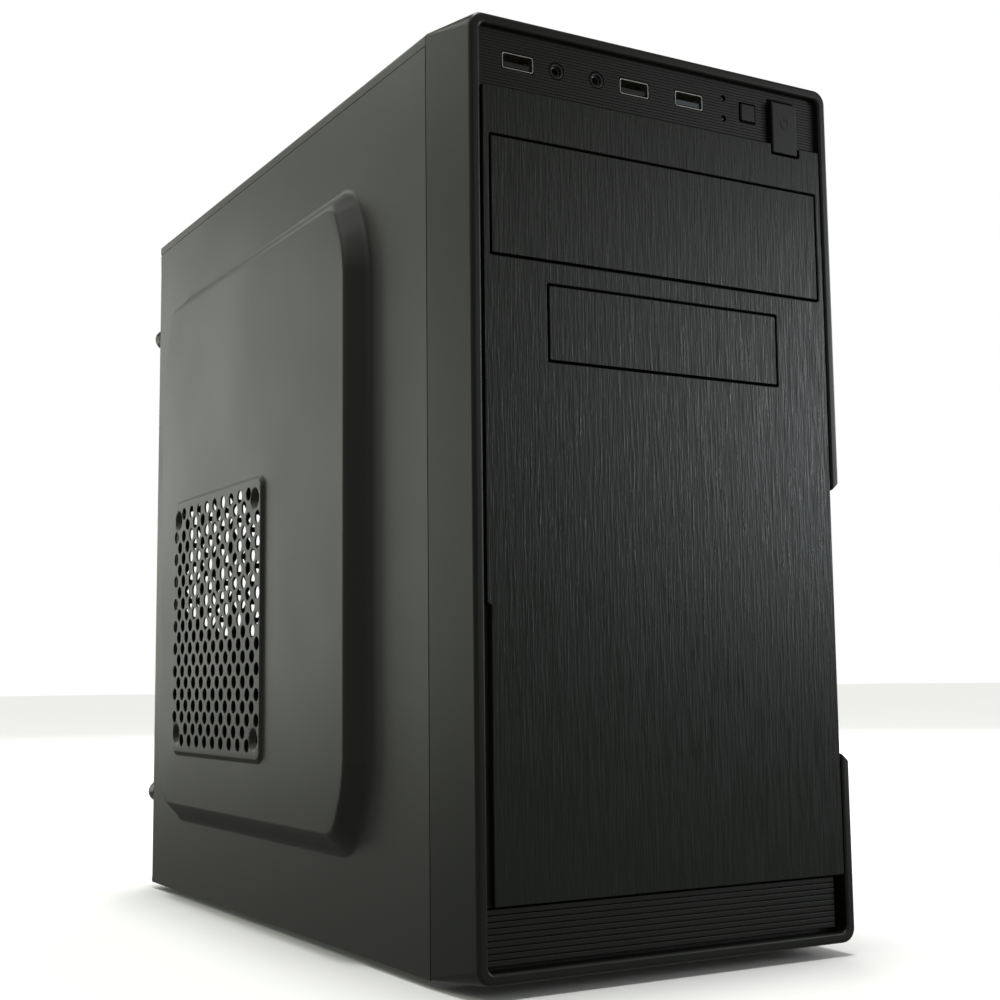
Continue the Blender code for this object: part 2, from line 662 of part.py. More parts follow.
def make_bezel():
    """The moulded front: a tapered shell with a rim, a port strip, bays and an air intake."""
    front = (FRONT_Y, -FRONT_HALF_W, FRONT_HALF_W, BEZEL_DRAFT, CHASSIS_H - BEZEL_DRAFT)
    back = (-GAP, -HALF_W, HALF_W, 0, CHASSIS_H)
    bezel = put("front_bezel", loft(bmesh.new(), [front, back]), ABS)
    wall_x = FRONT_HALF_W - BEZEL_WALL
    low = BEZEL_DRAFT + BEZEL_WALL
    high = CHASSIS_H - low
    rib_back = FRONT_Y + RIB_AREA_D + FLOOR_T
    notch_x = OPEN_HALF_W - BEZEL_WALL
    notch_z = (NOTCH_LOW - NOTCH_CHAMFER - BEZEL_WALL, NOTCH_HIGH + NOTCH_CHAMFER + BEZEL_WALL)
    past = 5 * MM
    rib_top = PLATE_LOW + BEZEL_WALL
    hollows = (("cavity_main", (-wall_x, FLOOR_BACK_Y, rib_top), (notch_x, past, high)),
               ("cavity_low", (-wall_x, rib_back, low), (notch_x, past, rib_top + MM)),
               ("cavity_right_low", (notch_x - MM, rib_back, low), (wall_x, past, notch_z[0])),
               ("cavity_right_high", (notch_x - MM, FLOOR_BACK_Y, notch_z[1]), (wall_x, past, high)),
               ("face_pocket", (-OPEN_HALF_W, FRONT_Y - past, PLATE_LOW),
                (OPEN_HALF_W, POCKET_Y, OPEN_HIGH)),
               ("rib_pocket", (-OPEN_HALF_W, FRONT_Y - past, OPEN_LOW),
                (OPEN_HALF_W, FRONT_Y + RIB_AREA_D, PLATE_LOW + GAP)))
    for name, corner, opposite in hollows:
        combine(bezel, name, box(bmesh.new(), corner, opposite), "DIFFERENCE")
    notch = [(OPEN_HALF_W - 0.2 * MM, NOTCH_LOW), (HALF_W + past, NOTCH_LOW - NOTCH_CHAMFER - past),
             (HALF_W + past, NOTCH_HIGH + NOTCH_CHAMFER + past), (OPEN_HALF_W - 0.2 * MM, NOTCH_HIGH)]
    mesh = prism(bmesh.new(), notch, FRONT_Y - past, FRONT_Y + NOTCH_D, "Y")
    combine(bezel, "rim_notch", mesh, "DIFFERENCE")
    through = bmesh.new()
    bays = [bay_rect(LARGE_W, LARGE_H, 0, LARGE_Z, COVER_GAP),
            bay_rect(SMALL_W, SMALL_H, SMALL_X, SMALL_Z, COVER_GAP)]
    for outline in bays + strip_openings():
        prism(through, outline, FRONT_Y - past, FLOOR_BACK_Y + MM, "Y")
    combine(bezel, "face_openings", through, "DIFFERENCE")
    slots = bmesh.new()
    count = int((RIB_AREA_H - 2 * RIB_SLOT) / RIB_PITCH)
    for i in range(count):
        z = OPEN_LOW + RIB_SLOT + i * RIB_PITCH
        prism(slots, rect(-OPEN_HALF_W + MM, notch_x - MM, z, z + RIB_SLOT),
              FRONT_Y + RIB_AREA_D - MM, rib_back + MM, "Y")
    combine(bezel, "intake_slots", slots, "DIFFERENCE")


def make_face_plate():
    """The brushed plate that lies in the bezel's pocket, round both bays."""
    left = -OPEN_HALF_W + PLATE_EDGE_GAP
    right = OPEN_HALF_W - PLATE_EDGE_GAP
    low = PLATE_LOW + GAP
    high = STRIP_LOW
    button = power_rect(BUTTON_CLEAR)
    outline = [(left + PLATE_STEP, low), (right, low), (right, high), (button[1][0], high),
               button[1], button[0], (button[0][0], high), (left, high), (left, PLATE_STEP_Z),
               (left + PLATE_STEP, PLATE_STEP_Z - PLATE_STEP)]
    bays = [bay_rect(LARGE_W, LARGE_H, 0, LARGE_Z, COVER_GAP),
            bay_rect(SMALL_W, SMALL_H, SMALL_X, SMALL_Z, COVER_GAP)]
    mesh = prism(bmesh.new(), outline, FRONT_Y, FRONT_Y + PLATE_T, "Y", bays)
    put("face_plate", mesh, BRUSHED)


def make_bay_cover(name, width, height, x, z):
    """A bay cover: a shallow tray, open behind."""
    half_w = width / 2
    half_h = height / 2
    back = FRONT_Y + COVER_D
    wall = COVER_WALL
    sections = [(FRONT_Y + wall, x - half_w + wall, x + half_w - wall,
                 z - half_h + wall, z + half_h - wall),
                (back, x - half_w + wall, x + half_w - wall, z - half_h + wall, z + half_h - wall),
                (back, x - half_w, x + half_w, z - half_h, z + half_h),
                (FRONT_Y, x - half_w, x + half_w, z - half_h, z + half_h)]
    put(name, loft(bmesh.new(), sections), BRUSHED, origin=(x, FRONT_Y, z))


def make_button(name, x, outline, front, back_y, slant):
    """A push button: cap, ledge behind the strip, and a stem into its switch."""
    x0, x1 = outline[0][0], outline[1][0]
    z0, z1 = outline[0][1], outline[2][1]
    ledge = FLOOR_BACK_Y + GAP
    grow = BUTTON_LEDGE
    middle = (z0 + z1) / 2
    half = STEM / 2
    sections = [(front, x0 + GAP, x1 - GAP, z0 + GAP, z1 - slant),
                (POCKET_Y, x0, x1, z0, z1),
                (ledge, x0, x1, z0, z1),
                (ledge, x0 - grow, x1 + grow, z0 - grow, z1 + grow),
                (ledge + BUTTON_LEDGE_T, x0 - grow, x1 + grow, z0 - grow, z1 + grow),
                (ledge + BUTTON_LEDGE_T, x - half, x + half, middle - half, middle + half),
                (back_y, x - half, x + half, middle - half, middle + half)]
    put(name, loft(bmesh.new(), sections), ABS, origin=(x, front, middle))
    return middle


def make_switch(name, x, z, low_y, size):
    """A switch body on the port board, with an open guide for the button's stem."""
    half = size / 2
    bore = STEM / 2 + BUTTON_CLEAR
    mesh = prism(bmesh.new(), rect(x - half, x + half, z - half, z + half), low_y,
                 PORT_BOARD_Y - GAP, "Y", [rect(x - bore, x + bore, z - bore, z + bore)])
    put(name, mesh, PLASTIC)


def make_buttons():
    ledge_back = FLOOR_BACK_Y + GAP + BUTTON_LEDGE_T
    switch_y = ledge_back + POWER_TRAVEL + 2 * GAP
    middle = make_button("power_button", POWER_X, power_rect(0), FRONT_Y, switch_y + STEM_IN,
                         POCKET_D)
    make_switch("power_switch", POWER_X, middle, switch_y, POWER_SWITCH)
    z = STRIP_LOW + PORT_Z
    half = RESET_SIZE / 2
    outline = rect(RESET_X - half, RESET_X + half, z - half, z + half)
    switch_y = ledge_back + RESET_TRAVEL + 2 * GAP
    middle = make_button("reset_button", RESET_X, outline, POCKET_Y - RESET_PROUD,
                         switch_y + STEM_IN, 0.0)
    make_switch("reset_switch", RESET_X, middle, switch_y, RESET_SWITCH)


def make_front_ports():
    """Sockets, jacks and light pipes on one small board behind the strip."""
    z = STRIP_LOW + PORT_Z
    top = z + USB_H / 2 + 5 * PORT_BOARD_EDGE / 2
    mesh = box(bmesh.new(), (USB_X[0] - USB_W / 2 - PORT_BOARD_EDGE, PORT_BOARD_Y, top - PORT_BOARD_H),
               (POWER_X + POWER_SWITCH / 2 + PORT_BOARD_EDGE, -BOARD_Y, top))
    put("front_port_board", mesh, BOARD)
    back = PORT_BOARD_Y - GAP
    wall = PORT_WALL
    for index, x in enumerate(USB_X):
        half_w = USB_W / 2
        half_h = USB_H / 2
        sections = [(back - wall, x - half_w + wall, x + half_w - wall, z - half_h + wall,
                     z + half_h - wall),
                    (POCKET_Y, x - half_w + wall, x + half_w - wall, z - half_h + wall,
                     z + half_h - wall),
                    (POCKET_Y, x - half_w, x + half_w, z - half_h, z + half_h),
                    (back, x - half_w, x + half_w, z - half_h, z + half_h)]
        put(f"front_usb_port_{index + 1}", loft(bmesh.new(), sections), NICKEL)
    for name, x in zip(("front_headphone_jack", "front_microphone_jack"), JACK_X):
        profile = [(back - wall, JACK_BORE_R), (POCKET_Y, JACK_BORE_R), (POCKET_Y, JACK_R),
                   (back, JACK_R)]
        put(name, turned(bmesh.new(), profile, (x, z), 16), PLASTIC, smooth=True)
    for name, dz in (("power_light_pipe", LIGHT_DZ), ("drive_light_pipe", -LIGHT_DZ)):
        profile = [(POCKET_Y - GAP, LIGHT_R), (back, LIGHT_R)]
        put(name, turned(bmesh.new(), profile, (LIGHT_X, z + dz), 8), LENS, smooth=True)


# ---- Fans ----------------------------------------------------------------------------
def sector(radius, inner, start, end, steps):
    """The outline of a ring sector, between two radii and two angles."""
    angles = [start + (end - start) * i / steps for i in range(steps + 1)]
    out = [(radius * math.cos(a), radius * math.sin(a)) for a in angles]
    back = [(inner * math.cos(a), inner * math.sin(a)) for a in reversed(angles)]
    return out + back


def make_fan(prefix, size, depth, place_matrix, hub_r, blades):
    """A fan: a square frame with four spokes, and a rotor that turns in it.

    It is built about the Y axis, with its spokes at the high-Y side, and then placed.
    """
    half = size / 2
    bore = half - 1.8 * MM
    spoke_t = 3.0 * MM
    frame_mesh = prism(bmesh.new(), rect(-half, half, -half, half), 0, depth, "Y")
    frame = put(f"{prefix}_fan_frame", frame_mesh, PLASTIC)
    well = prism(bmesh.new(), circle(0, 0, bore, 32), -MM, depth - spoke_t, "Y")
    combine(frame, f"{prefix}_fan_well", well, "DIFFERENCE")
    windows = bmesh.new()
    lean = math.radians(6)
    for i in range(4):
        start = i * math.pi / 2 + lean
        outline = sector(bore - MM, hub_r, start, start + math.pi / 2 - 2 * lean, 6)
        prism(windows, outline, depth - spoke_t - MM, depth + MM, "Y")
    combine(frame, f"{prefix}_fan_windows", windows, "DIFFERENCE")
    tip = bore - 1.2 * MM
    low = 2 * MM
    high = depth - spoke_t - 0.6 * MM
    outline = []
    share = 2 * math.pi / blades
    for i in range(blades):
        start = i * share
        outline += [(hub_r * math.cos(start + share * part), hub_r * math.sin(start + share * part))
                    for part in (0.0, 0.2)]
        outline += [(tip * math.cos(start + share * part), tip * math.sin(start + share * part))
                    for part in (0.38, 0.58, 0.78)]
        outline.append((hub_r * math.cos(start + share * 0.55), hub_r * math.sin(start + share * 0.55)))
    rotor_mesh = prism(bmesh.new(), outline, low, high, "Y")
    turn = Matrix.Rotation(math.radians(24), 4, "Y")
    bmesh.ops.transform(rotor_mesh, matrix=turn,
                        verts=[vert for vert in rotor_mesh.verts if vert.co.y > depth / 2])
    bmesh.ops.recalc_face_normals(rotor_mesh, faces=rotor_mesh.faces)
    rotor = put(f"{prefix}_fan_rotor", rotor_mesh, PLASTIC)
    for piece in (frame, rotor):
        piece.matrix_local = place_matrix
    for tool in (f"{prefix}_fan_well", f"{prefix}_fan_windows"):
        bpy.data.objects[tool].matrix_local = place_matrix


# ---- Power supply --------------------------------------------------------------------
def make_guard(low_y):
    """The finger guard over the supply's fan: rings held by four spokes."""
    half = GUARD_WIRE / 2
    rings = GUARD_RINGS
    holes = [circle(PSU_FAN_X, PSU_Z, rings[0] - half, 12)]
    for near, far in zip(rings, rings[1:]):
        lean = GUARD_WIRE / (near + far)
        for quarter in range(4):
            start = (quarter + 0.5) * math.pi / 2 + lean
            outline = sector(far - half, near + half, start, start + math.pi / 2 - 2 * lean, 5)
            holes.append([(PSU_FAN_X + u, PSU_Z + v) for u, v in outline])
    mesh = prism(bmesh.new(), circle(PSU_FAN_X, PSU_Z, rings[-1] + half, 24), low_y,
                 low_y + GUARD_WIRE, "Y", holes)
    put("psu_fan_guard", mesh, NICKEL)


def make_supply():
    """The power supply: steel box, board, mains inlet, rocker switch and fan."""
    half_w = PSU_W / 2
    low = PSU_LOW_Z
    high = low + PSU_H
    rear = BACK_INSIDE
    front = rear - PSU_D
    wall = PSU_WALL
    case_box = put("psu_case", box(bmesh.new(), (-half_w, front, low), (half_w, rear, high)), ZINC)
    hollow = box(bmesh.new(), (-half_w + wall, front + wall, low + wall),
                 (half_w - wall, rear - wall, high - wall))
    combine(case_box, "psu_hollow", hollow, "DIFFERENCE")
    openings = bmesh.new()
    prism(openings, circle(PSU_FAN_X, PSU_Z, PSU_FAN / 2 - 3 * MM, 28), rear - 2 * wall,
          rear + MM, "Y")
    inlet_z = PSU_Z + INLET_DZ
    rocker_z = PSU_Z + ROCKER_DZ
    for width, height, z in ((INLET_W, INLET_H, inlet_z), (ROCKER_W, ROCKER_H, rocker_z)):
        prism(openings, rect(INLET_X - width / 2 - GAP, INLET_X + width / 2 + GAP,
                             z - height / 2 - GAP, z + height / 2 + GAP),
              rear - 2 * wall, rear + MM, "Y")
    for i in range(8):
        x = -56 * MM + i * 15 * MM
        prism(openings, rect(x, x + 7 * MM, PSU_Z - 20 * MM, PSU_Z + 20 * MM),
              front - MM, front + 2 * wall, "Y")
    combine(case_box, "psu_openings", openings, "DIFFERENCE")
    board = box(bmesh.new(), (-half_w + 6 * MM, front + 6 * MM, low + 7 * MM),
                (half_w - 6 * MM, rear - PSU_FAN_DEPTH - 8 * MM, low + 7 * MM + BOARD_T))
    supply_board = put("psu_board", board, BOARD)
    parts = bmesh.new()
    base = low + 7 * MM + BOARD_T / 2
    for x0, x1, y0, y1, tall in ((-20, 18, 30, 64, 34), (-58, -34, 20, 78, 42), (32, 60, 24, 50, 30),
                                 (-24, -8, 74, 90, 38), (0, 16, 74, 90, 38)):
        box(parts, (x0 * MM, front + y0 * MM, base), (x1 * MM, front + y1 * MM, base + tall * MM))
    combine(supply_board, "psu_components", parts, "UNION")
    inlet = [(rear - 18 * MM, INLET_X - INLET_W / 2 + 2 * MM, INLET_X + INLET_W / 2 - 2 * MM,
              inlet_z - INLET_H / 2 + 2 * MM, inlet_z + INLET_H / 2 - 2 * MM),
             (rear - 18 * MM, INLET_X - INLET_W / 2, INLET_X + INLET_W / 2,
              inlet_z - INLET_H / 2, inlet_z + INLET_H / 2)]
    mouth = [(rear + SHEET, *inlet[1][1:]), (rear + SHEET, *inlet[0][1:]),
             (rear - 14 * MM, *inlet[0][1:])]
    put("mains_inlet", loft(bmesh.new(), [inlet[1], *mouth]), PLASTIC)
    pivot = (INLET_X, rear - 1.5 * MM, rocker_z)
    half_rocker = ROCKER_H / 2 - 1.5 * MM
    profile = [(-7 * MM, -3 * MM), (-7 * MM, 3 * MM), (1.6 * MM, half_rocker), (0, 0),
               (1.6 * MM, -half_rocker)]
    thick = ROCKER_W / 2 - GAP
    rocker_mesh = prism(bmesh.new(), profile, -thick, thick, "X")
    rocker = put("psu_rocker", rocker_mesh, PLASTIC)
    rocker.location = pivot
    rocker.rotation_euler = (math.radians(ROCKER_REST_DEG), 0, 0)
    make_guard(rear + GAP)
    fan_y = rear - wall - GAP - PSU_FAN_DEPTH
    make_fan("psu", PSU_FAN, PSU_FAN_DEPTH, Matrix.Translation((PSU_FAN_X, fan_y, PSU_Z)),
             18 * MM, 7)


# ---- Motherboard ---------------------------------------------------------------------
def make_board():
    """The motherboard with its cooler, memory, sockets, shield and slot covers."""
    low = BOARD_LOW_Z
    high = low + BOARD_TALL
    mesh = prism(bmesh.new(), rect(BOARD_FRONT, BOARD_REAR, low, high), BOARD_FACE_X, BOARD_X, "X")
    put("motherboard", mesh, BOARD)
    face = BOARD_FACE_X - GAP
    cpu_y = BOARD_REAR - CPU_Y
    half = SINK_SIZE / 2
    sink_base = face - 6 * MM
    sink_top = sink_base - SINK_H
    sink = bmesh.new()
    outline = [(-v, u) for u, v in comb(cpu_y - half, cpu_y + half, -sink_base, -sink_top,
                                       SINK_BASE, SINK_FINS)]
    prism(sink, outline, CPU_Z - half, CPU_Z + half, "Z")
    put("cpu_heatsink", sink, ALUMINIUM)
    turn = Matrix.Rotation(-math.pi / 2, 4, "Z")
    fan_place = Matrix.Translation((sink_top - GAP - CPU_FAN_DEPTH, cpu_y, CPU_Z)) @ turn
    make_fan("cpu", SINK_SIZE, CPU_FAN_DEPTH, fan_place, 17 * MM, 7)
    for index, offset in enumerate(DIMM_FROM_FRONT):
        y = BOARD_FRONT + offset
        half_l = DIMM_L / 2
        groove = DIMM_T / 2 + GAP
        deep = SOCKET_H - 3 * MM
        outline = [(face, y - SOCKET_W / 2), (face, y + SOCKET_W / 2),
                   (face - SOCKET_H, y + SOCKET_W / 2), (face - SOCKET_H, y + groove),
                   (face - SOCKET_H + deep, y + groove), (face - SOCKET_H + deep, y - groove),
                   (face - SOCKET_H, y - groove), (face - SOCKET_H, y - SOCKET_W / 2)]
        socket = prism(bmesh.new(), outline, DIMM_Z - half_l - 4 * MM, DIMM_Z + half_l + 4 * MM, "Z")
        put(f"memory_socket_{index + 1}", socket, PLASTIC)
        seat = face - SOCKET_H + deep - GAP
        module = box(bmesh.new(), (seat - DIMM_H, y - DIMM_T / 2, DIMM_Z - half_l),
                     (seat, y + DIMM_T / 2, DIMM_Z + half_l))
        put(f"memory_module_{index + 1}", module, BOARD)
    for index, name in enumerate(("expansion_slot_1", "expansion_slot_2")):
        z = slot_z(index * 2 + 1)
        rear = BOARD_REAR - 32 * MM
        outline = rect(rear - EXPANSION_L, rear, z - 4 * MM, z + 4 * MM)
        groove = rect(rear - EXPANSION_L + 3 * MM, rear - 3 * MM, z - 1.5 * MM, z + 1.5 * MM)
        put(name, prism(bmesh.new(), outline, face - 11 * MM, face, "X", [groove]), PLASTIC)


def make_rear_sockets():
    """The socket shield and the two socket blocks that pass through it."""
    inset = 3 * MM
    span = (IO_X[0] - inset, IO_X[1] + inset, IO_Z[0] - inset, IO_Z[1] + inset)
    lift = BOARD_FACE_X - GAP
    lan = (lift - 29 * MM, lift, IO_Z[0] + 60 * MM, IO_Z[0] + 110 * MM)
    audio = (lift - 13 * MM, lift, IO_Z[0] + 14 * MM, IO_Z[0] + 50 * MM)
    back = BACK_INSIDE
    clear = 2 * GAP
    holes = [rect(a - clear, b + clear, c - clear, d + clear) for a, b, c, d in (lan, audio)]
    shield = prism(bmesh.new(), rect(IO_X[0] - inset, IO_X[1] + inset / 3, *span[2:]),
                   back - SHEET, back, "Y", holes)
    put("io_shield", shield, ZINC)
    for name, (a, b, c, d) in (("usb_lan_sockets", lan), ("audio_sockets", audio)):
        block = put(name, box(bmesh.new(), (a, back - 20 * MM, c), (b, BACK_FACE, d)), NICKEL)
        mouths = bmesh.new()
        count = 3
        step = (d - c) / count
        for i in range(count):
            prism(mouths, rect(a + 2.5 * MM, b - 3 * MM, c + i * step + 2.5 * MM,
                               c + (i + 1) * step - 2.5 * MM), back - 12 * MM, BACK_FACE + MM, "Y")
        combine(block, f"{name}_mouths", mouths, "DIFFERENCE")
    for index in range(SLOT_COUNT):
        z = slot_z(index)
        rear = back
        right = SLOT_X[1] + 3 * MM
        left = right - SLOT_COVER_W
        outline = [(left, rear - SLOT_FOLD), (left + SHEET, rear - SLOT_FOLD),
                   (left + SHEET, rear - SHEET), (right, rear - SHEET), (right, rear), (left, rear)]
        cover = prism(bmesh.new(), outline, z - SLOT_COVER_H / 2, z + SLOT_COVER_H / 2, "Z")
        put(f"slot_cover_{index + 1}", cover, ZINC)


# ---- Cables --------------------------------------------------------------------------
def smooth_route(points, per_span):
    """Points along a smooth curve through the given ones."""
    ends = [2 * points[0] - points[1], *points, 2 * points[-1] - points[-2]]
    route = []
    for a, b, c, d in zip(ends, ends[1:], ends[2:], ends[3:]):
        for i in range(per_span):
            t = i / per_span
            route.append(0.5 * (2 * b + (c - a) * t + (2 * a - 5 * b + 4 * c - d) * t * t
                                + (3 * b - a - 3 * c + d) * t ** 3))
    return route + [points[-1]]


def make_cable(name, points, diameter, per_span):
    """A round cable along a smooth route, closed at both ends."""
    route = smooth_route([Vector(point) for point in points], per_span)
    data = bpy.data.curves.new(name, "CURVE")
    data.dimensions = "3D"
    data.bevel_depth = diameter / 2
    data.bevel_resolution = 2
    data.use_fill_caps = True
    spline = data.splines.new("POLY")
    spline.points.add(len(route) - 1)
    for point, place_at in zip(spline.points, route):
        point.co = (*place_at, 1.0)
    data.materials.append(CABLE)
    made = bpy.data.objects.new(name, data)
    made.parent = case
    bpy.context.scene.collection.objects.link(made)


def make_cables():
    """Three held cables: supply to board, drive to board, and front ports to board."""
    face = BOARD_FACE_X - 2 * GAP
    supply_front = BACK_INSIDE - PSU_D
    make_cable("main_power_cable",
               [(46 * MM, supply_front + 18 * MM, PSU_LOW_Z - 2 * GAP),
                (46 * MM, supply_front + 17 * MM, PSU_LOW_Z - 14 * MM),
                (48 * MM, supply_front + 6 * MM, PSU_LOW_Z - 30 * MM),
                (face - 8 * MM, supply_front, PSU_LOW_Z - 48 * MM),
                (face, supply_front, PSU_LOW_Z - 48 * MM)], 7 * MM, 5)
    make_cable("drive_data_cable",
               [(30 * MM, 160 * MM, SMALL_Z),
                (30 * MM, 168 * MM, SMALL_Z),
                (36 * MM, 178 * MM, SMALL_Z - 20 * MM),
                (46 * MM, 176 * MM, SMALL_Z - 60 * MM),
                (50 * MM, 172 * MM, SMALL_Z - 100 * MM),
                (face - 7 * MM, BOARD_FRONT + 42 * MM, SMALL_Z - 118 * MM),
                (face, BOARD_FRONT + 42 * MM, SMALL_Z - 118 * MM)], 4 * MM, 5)
    side = HALF_W - SHEET - 4 * MM
    strip = STRIP_LOW + PORT_Z
    make_cable("front_port_cable",
               [(20 * MM, -BOARD_Y + 2 * GAP, strip - 2 * MM),
                (20 * MM, -8 * MM, strip - 2 * MM),
                (26 * MM, 4 * MM, strip - 4 * MM),
                (48 * MM, 16 * MM, strip - 8 * MM),
                (70 * MM, 24 * MM, strip - 14 * MM),
                (side, 36 * MM, strip - 34 * MM),
                (side, 42 * MM, strip - 130 * MM),
                (side, 46 * MM, 90 * MM),
                (side - 3 * MM, 52 * MM, 46 * MM),
                (BOARD_X - 4 * MM, 72 * MM, 22 * MM),
                (face - 8 * MM, BOARD_FRONT + 6 * MM, 16 * MM),
                (face - 6 * MM, BOARD_FRONT + 14 * MM, 16 * MM),
                (face, BOARD_FRONT + 14 * MM, 16 * MM)], 3 * MM, 4)


make_bottom_pan()
make_top_cover()
make_front_frame()
make_rear_panel()
make_tray()
make_cage()
make_feet()
make_left_panel()
make_right_panel()
make_thumbscrews()
make_bezel()
make_face_plate()
make_bay_cover("large_bay_cover", LARGE_W, LARGE_H, 0, LARGE_Z)
make_bay_cover("small_bay_cover", SMALL_W, SMALL_H, SMALL_X, SMALL_Z)
make_buttons()
make_front_ports()
make_supply()
make_board()
make_rear_sockets()
make_cables()
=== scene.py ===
"""Looks of a desktop computer tower: a black mini tower with a brushed front and a vented side.

The sections follow the tower as it is put together: the stage, the painted steel shell, the
moulded front with what sits in it, the rear, and then the parts inside.
"""
import json
import math

import bmesh
import bpy
from mathutils import Matrix, Vector


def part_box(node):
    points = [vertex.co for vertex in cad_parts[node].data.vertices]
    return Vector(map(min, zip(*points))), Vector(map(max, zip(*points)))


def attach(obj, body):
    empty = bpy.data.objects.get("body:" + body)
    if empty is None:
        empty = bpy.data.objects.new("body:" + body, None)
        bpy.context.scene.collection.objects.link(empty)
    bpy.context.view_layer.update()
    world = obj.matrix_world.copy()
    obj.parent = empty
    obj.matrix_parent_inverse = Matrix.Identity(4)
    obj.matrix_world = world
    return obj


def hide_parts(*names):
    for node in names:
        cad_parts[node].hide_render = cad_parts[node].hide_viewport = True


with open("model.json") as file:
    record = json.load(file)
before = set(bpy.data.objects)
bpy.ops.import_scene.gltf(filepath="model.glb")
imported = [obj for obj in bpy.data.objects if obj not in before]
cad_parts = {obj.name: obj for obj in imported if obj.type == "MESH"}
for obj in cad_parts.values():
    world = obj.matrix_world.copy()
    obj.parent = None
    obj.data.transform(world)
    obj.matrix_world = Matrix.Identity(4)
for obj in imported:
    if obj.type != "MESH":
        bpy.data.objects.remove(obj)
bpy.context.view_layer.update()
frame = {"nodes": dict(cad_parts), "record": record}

MM = 0.001

# ---- Camera, floor and light ---------------------------------------------------------
# A plain product set: a pale floor that throws no light back, a dim white surround, soft
# lights low and high on the left and behind that draw the pressing, others from the right,
# the front and overhead, and fills for the hidden sides.
lens = bpy.data.cameras.new("camera")
lens.sensor_width = 36.0
lens.lens = 55.03
camera = bpy.data.objects.new("camera", lens)
bpy.context.scene.collection.objects.link(camera)
LOOK_YAW = math.radians(29.969)
LOOK_UP = math.radians(6.717)
LOOK_ROLL = math.radians(-0.639)
aim = (Matrix.Rotation(-LOOK_YAW, 4, "Z") @ Matrix.Rotation(math.pi / 2 + LOOK_UP, 4, "X")
       @ Matrix.Rotation(LOOK_ROLL, 4, "Z"))
camera.matrix_world = Matrix.Translation((-0.32863, -0.63129, 0.10570)) @ aim
bpy.context.scene.camera = camera


def linear(code):
    """An sRGB hex colour as the linear red, green, blue and alpha that a shader takes."""
    shares = [int(code[i:i + 2], 16) / 255 for i in (0, 2, 4)]
    return [c / 12.92 if c <= 0.04045 else ((c + 0.055) / 1.055) ** 2.4 for c in shares] + [1.0]


def add_node(material, kind, inputs=None, **settings):
    """Add a shader node, set it up, and link or set its inputs."""
    made = material.node_tree.nodes.new(kind)
    for key, value in settings.items():
        setattr(made, key, value)
    for key, value in (inputs or {}).items():
        if isinstance(value, bpy.types.NodeSocket):
            material.node_tree.links.new(value, made.inputs[key])
        else:
            made.inputs[key].default_value = value
    return made


def new_material(name):
    """A material with only its Principled shader and output, and the shader itself."""
    material = bpy.data.materials.new(name)
    material.use_nodes = True
    return material, material.node_tree.nodes["Principled BSDF"]


def join(material, source, shader, socket):
    """Link one socket to an input of the shader."""
    material.node_tree.links.new(source, shader.inputs[socket])


def clear_selection():
    """Leave edit mode and deselect everything."""
    if bpy.context.object and bpy.context.object.mode != "OBJECT":
        bpy.ops.object.mode_set(mode="OBJECT")
    bpy.ops.object.select_all(action="DESELECT")


clear_selection()
bpy.ops.mesh.primitive_plane_add(size=30.0, location=(0, 0, 0))
floor = bpy.context.object
floor.name = "floor"
paper, paper_shader = new_material("matt_white_paper")
grain = add_node(paper, "ShaderNodeTexNoise", {"Scale": 60.0, "Detail": 3.0})
tint = add_node(paper, "ShaderNodeMixRGB", {"Fac": grain.outputs["Fac"], "Color1": linear("F6F6F4"),
                                           "Color2": linear("FAFAF8")})
join(paper, tint.outputs["Color"], paper_shader, "Base Color")
paper_shader.inputs["Roughness"].default_value = 0.9
floor.data.materials.append(paper)
floor.visible_diffuse = False
floor.visible_glossy = False
bpy.context.scene.view_settings.view_transform = "Standard"


def add_light(name, place, target, width, height, power, tint="FFFFFF"):
    """A soft rectangular light aimed at a point."""
    lamp = bpy.data.lights.new(name, "AREA")
    lamp.shape = "RECTANGLE"
    lamp.size = width
    lamp.size_y = height
    lamp.energy = power
    lamp.color = linear(tint)[:3]
    light = bpy.data.objects.new(name, lamp)
    light.location = place
    light.rotation_euler = (Vector(target) - Vector(place)).to_track_quat("-Z", "Y").to_euler()
    bpy.context.scene.collection.objects.link(light)


add_light("rear_low_light", (-1.10, 1.70, 0.45), (-0.08, 0.05, 0.08), 1.0, 0.9, 1.7, "FBFFF4")
add_light("graze_light", (-0.55, 1.90, 0.45), (-0.08, 0.05, 0.18), 0.6, 0.9, 4.3, "FBFFF4")
add_light("left_top_light", (-1.2, 0.2, 1.5), (-0.08, 0.0, 0.18), 1.0, 1.0, 4.6, "FBFFF4")
add_light("rear_top_light", (-0.7, 1.6, 1.5), (-0.08, 0.0, 0.18), 0.8, 0.8, 5.0, "FBFFF4")
add_light("right_light", (1.5, -1.1, 0.47), (0.03, -0.17, 0.25), 0.5, 0.5, 6.1, "F4F9FF")
add_light("front_light", (0.95, -1.35, 0.62), (0.06, -0.17, 0.24), 0.35, 0.5, 0.6)
add_light("right_fill", (2.20, 0.20, 0.70), (0.08, 0.0, 0.18), 1.2, 0.8, 12.0)
add_light("rear_fill", (1.30, 1.80, 0.80), (0.0, 0.17, 0.18), 1.0, 1.0, 12.0)
overhead = bpy.data.objects.new("overhead_softbox", bpy.data.lights.new("overhead_softbox", "SUN"))
overhead.data.energy = 2.5
overhead.data.angle = 0.3
bpy.context.scene.collection.objects.link(overhead)

